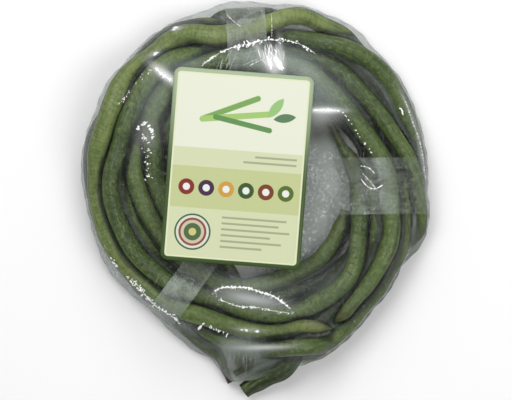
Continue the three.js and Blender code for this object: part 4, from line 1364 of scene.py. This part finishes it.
def sliver_points(middle, course, half_width, glow):
    """Points (n, steps, 3, 3) of slivers and the glow of each, from middles in millimetres."""
    across = np.array([-1.0, 0.0, 1.0])
    reach = TUCK_WIDEN * half_width[..., None, None] * across[:, None]
    flat = middle[..., None, :] + left_of(course)[..., None, :] * reach
    bearing = np.degrees(np.arctan2(flat[..., 1], flat[..., 0])) % 360
    room = TUCK_FURTHEST * rim_reach(bearing) / MM / np.linalg.norm(flat, axis=-1)
    flat = flat * np.minimum(1, room)[..., None]
    level = film_level(flat[..., 0] * MM, flat[..., 1] * MM)
    level = level + np.where(across == 0, TUCK_HIGH, TUCK_LOW)
    points = np.concatenate([flat * MM, level[..., None]], axis=-1)
    return points, glow[..., None] * (across == 0)


def strewn(line, count, length, width, glow, seed, drift, turn, scatter):
    """Short slivers strewn along a path, turned from its course by about an angle in degrees."""
    draw = np.random.default_rng(seed)
    places, course, _ = path_points(line, PATH_PLACES)
    pick = draw.integers(0, PATH_PLACES, count)
    middle = places[pick] + drift * draw.normal(size=(count, 2))
    angle = np.arctan2(course[pick, 1], course[pick, 0])
    angle = angle + np.radians(turn + scatter * draw.normal(size=count))
    ahead = np.stack([np.cos(angle), np.sin(angle)], axis=-1)[:, None]
    along = np.linspace(-1, 1, TUCK_STEPS)
    long = draw.uniform(*length, count)[:, None, None] / 2
    bend = TUCK_BEND * draw.normal(size=(count, 1, 1)) * (along**2)[None, :, None]
    middle = middle[:, None] + ahead * long * along[None, :, None] + left_of(ahead) * long * bend
    taper = np.sqrt(1 - along**2) * 0.9 + 0.1
    half = draw.uniform(*width, count)[:, None] / 2 * taper
    bright = draw.uniform(*glow, count)[:, None] * (1 - along**2) ** 0.5
    return sliver_points(middle, np.broadcast_to(ahead, middle.shape), half, bright)


def thread(line, width, glow, seed, ripple=0.0, wave=1.0):
    """One long sliver that follows a path, thicker and thinner by turns, rippling if asked to."""
    draw = np.random.default_rng(seed)
    _, _, length = path_points(line, 50)
    places, course, _ = path_points(line, int(length / THREAD_STEP) + 4)
    at = np.linspace(0, length, len(places))
    places = places + left_of(course) * (ripple * np.abs(np.sin(np.pi * at / wave)))[:, None]
    uneven = 0.65 + 0.35 * waves(at, 9, 6, draw)
    ends = ramp(at, 0, 0.12 * length) * ramp(length - at, 0, 0.12 * length)
    half = 0.5 * width * (0.25 + 0.75 * ends) * uneven.clip(0.2)
    bright = (glow * ends * (0.75 + 0.35 * waves(at, 6, 6, draw))).clip(0, 1)
    return sliver_points(places[None], course[None], half[None], bright[None])


# %% Where the tucks are, in millimetres across and up the ground
CREST_LEFT = [(-29.7, 63.1), (-22.8, 68.4), (-16.4, 72.1), (-10.6, 74.2)]
CREST_MIDDLE = [(-10.6, 74.2), (-3.2, 75.5), (3.2, 77.1), (8.5, 77.9)]
CREST_RIGHT = [(8.5, 77.9), (15.4, 77.4), (21.2, 76.1), (26.5, 73.7), (32.9, 68.9)]
LENS_TOP = [(-23.3, -57.2), (-20.1, -54.3), (-11.1, -53.2), (-4.8, -53.5), (2.7, -55.9), (8.0, -57.5),
            (13.3, -60.7), (19.6, -66.0)]
LENS_LOW = [(-22.3, -57.6), (-15.9, -61.0), (-8.5, -63.1), (-1.1, -63.6), (7.4, -65.2), (19.1, -66.8)]
LEFT_ROW = [(-51.9, 63.6), (-64.7, 53.5), (-69.2, 47.2), (-72.4, 42.6)]
LOW_ROW = [(-67.8, -47.7), (-62.0, -53.0), (-57.2, -59.4), (-48.0, -66.5), (-39.2, -72.1)]
LOW_TURN = [(-24.4, -74.2), (-19.0, -76.5), (-14.8, -78.6)]
RIGHT_ROW = [(42.9, 42.9), (49.8, 34.2), (55.7, 25.4), (61.5, 17.5)]
LEFT_ARC = [(-62.5, 30.5), (-59.5, 33.5), (-56.0, 31.0), (-54.6, 25.0)]
LEFT_CLUSTER = [(-60.0, 27.0), (-57.5, 20.0), (-57.8, 12.0), (-56.5, 4.0)]

# Each thread: its path, width, brightness and seed, and how far and how long it ripples
THREADS = [
    (CREST_LEFT, 0.35, 0.75, 1), (CREST_MIDDLE, 0.6, 0.8, 2, 0.3, 2.0),
    (CREST_RIGHT, 0.4, 0.7, 3, 0.25, 2.2), (LENS_TOP, 1.25, 1.0, 4, 0.45, 2.1),
    (LENS_LOW, 0.4, 0.7, 5, 0.3, 3.0), (LOW_ROW, 0.6, 0.75, 6, 0.4, 3.2),
    ([(-53.5, 63.4), (-49.0, 59.0), (-43.5, 55.6)], 2.0, 1.0, 7),
    ([(54.5, 11.1), (59.1, 10.3), (63.1, 6.4)], 0.5, 0.8, 8),
    ([(55.1, 5.0), (58.0, 1.0), (61.7, -1.0), (67.7, 1.7)], 0.6, 0.9, 9),
    ([(55.5, 8.0), (60.5, 2.5), (64.5, -2.5)], 0.4, 0.6, 10),
    ([(76.3, 51.4), (80.3, 43.5), (83.0, 35.5), (86.9, 24.9), (89.0, 11.7), (90.5, 1.0)], 1.4, 0.35, 11),
    ([(29.0, 40.3), (37.0, 40.7), (45.0, 40.0)], 1.5, 0.9, 12),
    ([(-16.4, 92.5), (-12.7, 88.5), (-7.4, 84.3)], 0.5, 0.5, 13),
    ([(8.2, 93.0), (8.4, 84.0), (8.3, 78.5)], 0.4, 0.5, 14),
    ([(-4.5, 63.4), (0.5, 66.0), (5.5, 68.6)], 0.5, 0.5, 15),
    ([(-8.0, 63.6), (-2.0, 66.3), (3.0, 68.2)], 0.4, 0.35, 16),
]

# Each row of slivers: its path, how many, their lengths, widths and brightness, the seed, how far
# they stray, and by how many degrees they turn from the path and from each other
STREWN = [
    (CREST_LEFT, 40, (0.5, 2.0), (0.25, 0.5), (0.5, 1.0), 21, 0.35, 0, 25),
    (CREST_MIDDLE, 34, (0.8, 2.8), (0.35, 0.9), (0.6, 1.0), 22, 0.7, 30, 50),
    (CREST_RIGHT, 34, (0.5, 1.7), (0.3, 0.65), (0.5, 1.0), 23, 0.45, 20, 50),
    ([(7.5, 73.0), (10.0, 66.0)], 16, (4, 9), (0.25, 0.55), (0.2, 0.55), 24, 2.2, 0, 14),
    ([(-24.0, 64.5), (0.0, 67.0)], 14, (5, 10), (0.3, 0.7), (0.1, 0.28), 25, 2.5, 62, 6),
    ([(6.9, 67.0), (7.2, 63.5)], 7, (4, 9), (0.6, 1.3), (0.8, 1.0), 26, 0.5, 12, 5),
    ([(11.6, 67.5), (12.6, 63.5)], 10, (4, 9), (0.7, 1.5), (0.8, 1.0), 27, 0.7, 14, 6),
    ([(4.0, 71.0), (13.0, 70.0)], 26, (3, 9), (0.2, 0.5), (0.25, 0.7), 50, 2.0, 100, 16),
    (LEFT_ROW, 36, (0.3, 1.2), (0.22, 0.42), (0.3, 0.85), 28, 0.6, 20, 50),
    (LEFT_ARC, 30, (1.0, 2.6), (0.3, 0.6), (0.6, 1.0), 49, 0.4, 90, 22),
    (LEFT_CLUSTER, 34, (0.5, 2.0), (0.25, 0.6), (0.4, 1.0), 29, 1.0, 60, 40),
    ([(-43.4, 83.5), (-41.0, 84.0)], 3, (2.4, 3.4), (0.8, 1.5), (0.4, 0.7), 30, 0.4, 0, 10),
    ([(-54.6, 70.2), (-52.6, 71.0)], 3, (2.2, 3.2), (0.8, 1.4), (0.35, 0.6), 31, 0.4, 0, 10),
    ([(-76.3, -38.0), (-74.0, -41.5)], 5, (1.2, 3.0), (0.5, 0.9), (0.7, 1.0), 32, 0.5, 30, 40),
    (LOW_ROW, 60, (0.6, 2.4), (0.35, 0.8), (0.5, 1.0), 33, 0.9, 25, 45),
    ([(-30.2, -74.6), (-27.6, -71.8)], 4, (1.8, 3.2), (0.5, 0.9), (0.8, 1.0), 34, 0.3, 0, 20),
    (LOW_TURN, 14, (0.9, 2.3), (0.3, 0.55), (0.5, 0.95), 35, 0.4, 85, 14),
    ([(-9.6, -75.4), (1.4, -76.0)], 7, (1.4, 3.0), (0.7, 1.2), (0.35, 0.75), 36, 0.35, 0, 8),
    (LENS_TOP, 60, (1.0, 3.2), (0.25, 0.5), (0.12, 0.4), 37, 0.8, 95, 8),
    (LENS_LOW, 40, (0.5, 1.6), (0.3, 0.6), (0.4, 0.95), 38, 0.4, 15, 45),
    (RIGHT_ROW, 18, (0.4, 0.9), (0.4, 0.7), (0.5, 1.0), 39, 0.25, 0, 60),
    ([(77.0, 41.0), (79.0, 39.0)], 3, (2.0, 3.2), (0.5, 0.8), (0.7, 0.95), 40, 0.5, 20, 50),
    ([(-6.0, 96.0), (-2.0, 77.0)], 16, (3.0, 9.0), (0.2, 0.35), (0.06, 0.2), 41, 4.5, 20, 60),
    ([(-50.0, -54.5), (-33.0, -52.0)], 18, (3.0, 9.0), (0.2, 0.4), (0.06, 0.22), 42, 5.0, 45, 50),
    ([(58.0, 13.0), (56.0, -12.0)], 18, (1.5, 5.0), (0.2, 0.4), (0.08, 0.3), 43, 3.0, 30, 60),
    ([(-17.0, -92.0), (-2.0, -92.0)], 40, (5.0, 14.0), (0.12, 0.22), (0.06, 0.3), 44, 2.6, 87, 7),
    ([(-84.0, -20.0), (-76.0, -45.0), (-60.0, -64.0)], 30, (1.0, 4.0), (0.3, 0.6), (0.1, 0.3), 45,
     2.0, 20, 50),
    ([(48.0, -76.0), (66.0, -58.0), (82.0, -36.0)], 40, (0.8, 3.0), (0.3, 0.6), (0.08, 0.25), 46,
     2.4, 40, 60),
    ([(30.0, -44.0), (60.0, -20.0), (72.0, 10.0)], 40, (0.4, 1.4), (0.2, 0.4), (0.08, 0.3), 47, 6.0, 0, 60),
    ([(-80.0, 20.0), (-70.0, 0.0), (-66.0, -30.0)], 30, (0.4, 1.4), (0.2, 0.4), (0.08, 0.3), 48, 5.0, 0, 60),
]


def tucks_piece():
    """All the slivers as one piece, each a strip of three points across, raised in its middle."""
    rows = [thread(*row) for row in THREADS] + [strewn(*row) for row in STREWN]
    points, faces, glows, first = [], [], [], 0
    for grid, glow in rows:
        count, steps = grid.shape[:2]
        one = grid_quads(steps, 3, closed=False)
        starts = first + 3 * steps * np.arange(count)[:, None, None]
        faces.append((one[None] + starts).reshape(-1, 4))
        points.append(grid.reshape(-1, 3))
        glows.append(glow.ravel())
        first += 3 * steps * count
    values = {"glow": np.concatenate(glows)}
    return new_piece("film_tuck_highlights", np.concatenate(points), [np.concatenate(faces)], values)


TUCK_HIGHLIGHT_WHITE = grey(0.97)


def tuck_highlight_material():
    """Painted highlight: white where a sliver glows, and clear towards its edges, broken up by a fine cloud.
    """
    material, tree = new_material("Film tuck highlights")
    place = put(tree, "ShaderNodeTexCoord").outputs["Object"]
    cloud = noise(place, 1400.0, detail=2.0)
    faint = calc("MULTIPLY", given(tree, "glow"), vary(cloud, 0.6, 1.5), clamp=True)
    clear = put(tree, "ShaderNodeBsdfTransparent").outputs[0]
    shown = sharpen(faint, 0.0, 0.6)
    finish_with(tree, laid_over(shown, clear, matt_layer(tree, TUCK_HIGHLIGHT_WHITE)))
    return material


tucks = tucks_piece()
tucks.data.materials.append(tuck_highlight_material())
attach(tucks, "root")
print("faces of the tucks", len(tucks.data.polygons))

# %% [markdown]
# ## The label
#
# The label is a thin sheet with rounded corners, which follows the film's gentle swells. A flat
# plate would float over the film at one place and cut into it at another, and a cloth laid on it
# by simulation would come out a little different each time. So its outline is worked out once and
# shrunk towards the middle, ring by ring, and each point is lifted by the same formula as the bed.

# %% Label shape
LABEL_THICK = 0.25 * MM
LABEL_SHARES = np.linspace(1, 0.04, 26)
CORNER_POINTS = 10
EDGE_POINTS = 30
LABEL_ABOVE = 0.3 * MM


def rounded_outline():
    """Points round a rectangle with rounded corners, counter-clockwise from its right side."""
    half = np.array(LABEL_SIZE) / 2
    parts = []
    for quarter in range(4):
        signs = np.array([(1, 1), (-1, 1), (-1, -1), (1, -1)][quarter])
        centre = signs * (half - LABEL_CORNER)
        turn = np.pi / 2 * (quarter + np.linspace(0, 1, CORNER_POINTS))
        arc = centre + LABEL_CORNER * np.stack([np.cos(turn), np.sin(turn)], axis=1)
        parts.append(arc)
    corners = np.concatenate(parts)
    closed = np.concatenate([corners, corners[:1]])
    edges = []
    for start, end in zip(closed[:-1], closed[1:]):
        pieces = EDGE_POINTS if np.linalg.norm(end - start) > LABEL_CORNER else 1
        share = np.arange(pieces)[:, None] / pieces
        edges.append(start + share * (end - start))
    return np.concatenate(edges)


def label_piece():
    """The label's face, rings of the shrinking outline from the middle out, and its back."""
    edge = rounded_outline()
    back = LABEL_SHARES[:, None, None] * edge[None]
    across, up = np.moveaxis(np.concatenate([back[::-1], back]), -1, 0)
    level = label_low.z + LABEL_ABOVE + label_bow(across, up)
    level[len(back):] -= LABEL_THICK
    cos, sin = np.cos(LABEL_TURN), np.sin(LABEL_TURN)
    x = LABEL_MIDDLE[0] + across * cos - up * sin
    y = LABEL_MIDDLE[1] + across * sin + up * cos
    grid = np.stack([x, y, level], axis=-1).reshape(-1, 3)
    columns = len(edge)
    rows = len(across)
    middle = label_low.z + LABEL_ABOVE + label_bow(0.0, 0.0)
    ends = [[*LABEL_MIDDLE, middle], [*LABEL_MIDDLE, middle - LABEL_THICK]]
    points = np.concatenate([grid, ends])
    faces = [
        grid_quads(rows, columns)[:, ::-1],
        fan(len(grid), 0, columns),
        fan(len(grid) + 1, (rows - 1) * columns, columns, outwards=False),
    ]
    place = np.stack([across, up, np.zeros_like(up)], axis=-1).reshape(-1, 3) / MM
    values = {"label_place": np.concatenate([place, np.zeros((2, 3))])}
    return new_piece("label_sheet", points, faces, values)


label = label_piece()
print("label triangles", triangles_in(label))

# %% [markdown]
# ## The label's print
#
# The print is a plain design of its own: a green rim, a white field above, a pale strip, a lime
# band and a pale field below, with simple pods, seeds and rings. A picture would have to be drawn
# and stored beside the model, and would blur close up. So each shape is a mask worked out from the
# place on the label in millimetres, and its edges stay sharp at any distance.

# %% Label print
RIM_GREEN = from_screen(68, 88, 48)
RIM_SAGE = from_screen(160, 176, 146)
CREAM = from_screen(216, 220, 186)
FIELD_WHITE = from_screen(222, 224, 219)
STRIP_GREEN = from_screen(188, 195, 156)
BAND_LIME = from_screen(150, 162, 60)
LOW_FIELD = from_screen(186, 194, 152)
EDGE_SOFT = 0.25


def label_axes(tree):
    """The place on the label, as its millimetres across and up."""
    sides = put(tree, "ShaderNodeSeparateXYZ", {0: given_place(tree, "label_place")}).outputs
    return Mask(sides[0]), Mask(sides[1])


def within_edge(inside):
    """A mask from the distance inside a shape's edge, soft over a narrow border."""
    return sharpen(inside, -EDGE_SOFT / 2, EDGE_SOFT / 2)


def inside_disc(x, y, middle, radius):
    """The radius less the distance from the middle."""
    dx, dy = x - middle[0], y - middle[1]
    return within_edge(radius - calc("SQRT", dx * dx + dy * dy))


def inside_bar(x, y, middle, half, corner=0.0, turn=0.0):
    """A box with rounded corners, turned by an angle in degrees: the corner's radius less the
    distance from a box that is smaller by that radius."""
    cos, sin = float(np.cos(np.radians(turn))), float(np.sin(np.radians(turn)))
    dx, dy = x - middle[0], y - middle[1]
    sides = (dx * cos + dy * sin, half[0]), (dy * cos - dx * sin, half[1])
    far = [calc("MAXIMUM", calc("ABSOLUTE", side) - (size - corner), 0.0) for side, size in sides]
    return within_edge(corner - calc("SQRT", far[0] * far[0] + far[1] * far[1]))


def inside_leaf(x, y, middle, length, width, turn):
    """A pointed leaf: where two equal discs overlap."""
    radius = (length**2 + width**2) / (4 * width)
    apart = radius - width / 2
    dx, dy = -float(np.sin(np.radians(turn))) * apart, float(np.cos(np.radians(turn))) * apart
    one = inside_disc(x, y, (middle[0] + dx, middle[1] + dy), radius)
    return one * inside_disc(x, y, (middle[0] - dx, middle[1] - dy), radius)


PANELS = [
    ((0, 28.5), (34.0, 19.4), FIELD_WHITE),
    ((0, 4.3), (34.0, 5.0), STRIP_GREEN),
    ((0, -11.6), (34.0, 10.9), BAND_LIME),
    ((0, -35.2), (34.0, 12.9), LOW_FIELD),
]
POD_BARS = [
    ((-6, 31), 17, 1.5, 24, from_screen(120, 160, 88)),
    ((-3, 27), 19, 1.6, 8, from_screen(156, 190, 112)),
    ((1, 23.5), 16, 1.4, -10, from_screen(96, 140, 84)),
]
LEAVES = [
    ((18, 33), 13, 5, 55, from_screen(146, 186, 120)),
    ((23, 28), 12, 4.6, 10, from_screen(92, 124, 90)),
]
BEADS = [
    ((-26, -11.6), from_screen(128, 52, 46)),
    ((-15.5, -11.6), from_screen(70, 48, 70)),
    ((-5, -11.6), from_screen(196, 150, 70)),
    ((5.5, -11.6), from_screen(62, 88, 46)),
    ((16, -11.6), from_screen(120, 66, 42)),
    ((26.5, -11.6), from_screen(86, 108, 50)),
]
BEAD_RADIUS = 4.2
BEAD_HEART = 1.9
SEAL = (-21, -35.2)
SEAL_RINGS = [
    (9.6, from_screen(66, 96, 70)),
    (8.7, from_screen(208, 212, 196)),
    (7.4, from_screen(138, 76, 68)),
    (6.2, from_screen(196, 186, 160)),
    (4.6, from_screen(78, 104, 70)),
    (2.0, from_screen(200, 190, 120)),
]
LINE_GREY = from_screen(84, 94, 70)
LINES = [
    ((11, -26.5), 17), ((9, -29.6), 15), ((12, -32.7), 18), ((7, -35.8), 13),
    ((10, -38.9), 16), ((5, -42.0), 11), ((20, 6.4), 11), ((17, 3.4), 14),
]
LINE_HALF = 0.5
FRAME_HALF, FRAME_CORNER = (34.9, 48.9), 1.8
FIELD_HALF, FIELD_CORNER = (34.1, 48.1), 1.2
RIM_FADE = (-12.0, 52.0)


def printed(x, y):
    """The print's masks and paints, from the lowest layer up."""
    yield inside_bar(x, y, (0, 0), FRAME_HALF, FRAME_CORNER), CREAM
    within = inside_bar(x, y, (0, 0), FIELD_HALF, FIELD_CORNER)
    for middle, half, paint in PANELS:
        yield within * inside_bar(x, y, middle, half), paint
    for middle, length, half_width, turn, paint in POD_BARS:
        yield inside_bar(x, y, middle, (length, half_width), half_width, turn), paint
    for middle, length, width, turn, paint in LEAVES:
        yield inside_leaf(x, y, middle, length, width, turn), paint
    for middle, paint in BEADS:
        yield inside_disc(x, y, middle, BEAD_RADIUS), paint
        yield inside_disc(x, y, middle, BEAD_HEART), FIELD_WHITE
    for radius, paint in SEAL_RINGS:
        yield inside_disc(x, y, SEAL, radius), paint
    for middle, half in LINES:
        yield inside_bar(x, y, middle, (half, LINE_HALF)), LINE_GREY


def label_material():
    """Each print layer laid over the rim's green, on smooth paper with a faint grain."""
    material, tree = new_material("Printed label")
    x, y = label_axes(tree)
    colour = blend_colours(sharpen(y, *RIM_FADE), RIM_GREEN, RIM_SAGE)
    for mask, paint in printed(x, y):
        colour = blend_colours(mask, colour, paint)
    place = given_place(tree, "label_place")
    shader = put(tree, "ShaderNodeBsdfPrincipled", {
        "Base Color": colour,
        "Roughness": vary(noise(place, 1.4), 0.2, 0.32),
        "Specular IOR Level": 0.15,
        "Normal": raised(noise(place, 0.08, detail=2.0), 0.2, 0.2 * MM),
    })
    finish_with(tree, shader.outputs[0])
    return material


label.data.materials.append(label_material())
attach(label, "root")
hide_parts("label")
print("nodes in the label's finish", len(label.data.materials[0].node_tree.nodes))

# %% [markdown]
# ## Floor, light and camera
#
# The bunch lies on a white table, lit from all sides as in a product photo, and the camera looks
# straight down on it. One hard lamp would draw dark shadows between the pods, and a bright sky
# alone would leave the film without a glint. So a pale sky fills the shadows, and three wide lamps
# above it give the gloss. The camera stands far off, so that the ring's height hardly widens it.

# %% Floor
FLOOR_HALF = 3.0
TABLE_WHITE = grey(0.9)


def make_floor():
    """One wide square at height 0."""
    points = [(-FLOOR_HALF, -FLOOR_HALF, 0), (FLOOR_HALF, -FLOOR_HALF, 0),
              (FLOOR_HALF, FLOOR_HALF, 0), (-FLOOR_HALF, FLOOR_HALF, 0)]
    floor = new_piece("floor", points, [np.array([[0, 1, 2, 3]])])
    material, tree = new_material("White table")
    finish_with(tree, matt_layer(tree, TABLE_WHITE))
    floor.data.materials.append(material)


make_floor()
print("floor is", 2 * FLOOR_HALF, "m wide")

# %% Lamps
WORLD_LEVEL = 0.42
LAMPS = [
    {"name": "key", "place": (-0.30, 0.40, 1.00), "size": 0.60, "power": 5.2},
    {"name": "fill", "place": (0.50, -0.20, 0.95), "size": 0.60, "power": 3.6},
    {"name": "back", "place": (0.10, 0.75, 0.60), "size": 0.50, "power": 2.2},
]


def make_lamp(name, place, size, power):
    """A square lamp that faces the frame's origin."""
    lamp = bpy.data.lights.new(name, "AREA")
    lamp.size = size
    lamp.energy = power
    holder = bpy.data.objects.new(name, lamp)
    holder.location = place
    holder.rotation_mode = "QUATERNION"
    holder.rotation_quaternion = (-Vector(place)).to_track_quat("-Z", "Y")
    bpy.context.scene.collection.objects.link(holder)


for lamp in LAMPS:
    make_lamp(**lamp)
world = bpy.data.worlds.new("Studio")
world.use_nodes = True
world.node_tree.nodes["Background"].inputs["Color"].default_value = (*grey(1.0), 1)
world.node_tree.nodes["Background"].inputs["Strength"].default_value = WORLD_LEVEL
bpy.context.scene.world = world
print("lamps", [lamp["name"] for lamp in LAMPS])

# %% Camera
VIEW_WIDTH = 271.4 * MM
VIEW_CENTRE = (0, -6.9 * MM)
CAMERA_HEIGHT = 2.2
MIDDLE_LEVEL = 21 * MM
SENSOR = 36.0


def make_camera():
    """Looks straight down. Its focal length shows the view's width at the bunch's middle level."""
    camera = bpy.data.cameras.new("camera")
    camera.sensor_width = SENSOR
    camera.lens = SENSOR * (CAMERA_HEIGHT - MIDDLE_LEVEL) / VIEW_WIDTH
    holder = bpy.data.objects.new("camera", camera)
    holder.location = (*VIEW_CENTRE, CAMERA_HEIGHT)
    bpy.context.scene.collection.objects.link(holder)
    bpy.context.scene.camera = holder


make_camera()
scene = bpy.context.scene
scene.view_settings.view_transform = "Standard"
scene.cycles.transparent_max_bounces = 24
scene.cycles.caustics_reflective = False
scene.cycles.caustics_refractive = False
print("view is", round(VIEW_WIDTH / MM, 1), "mm wide")
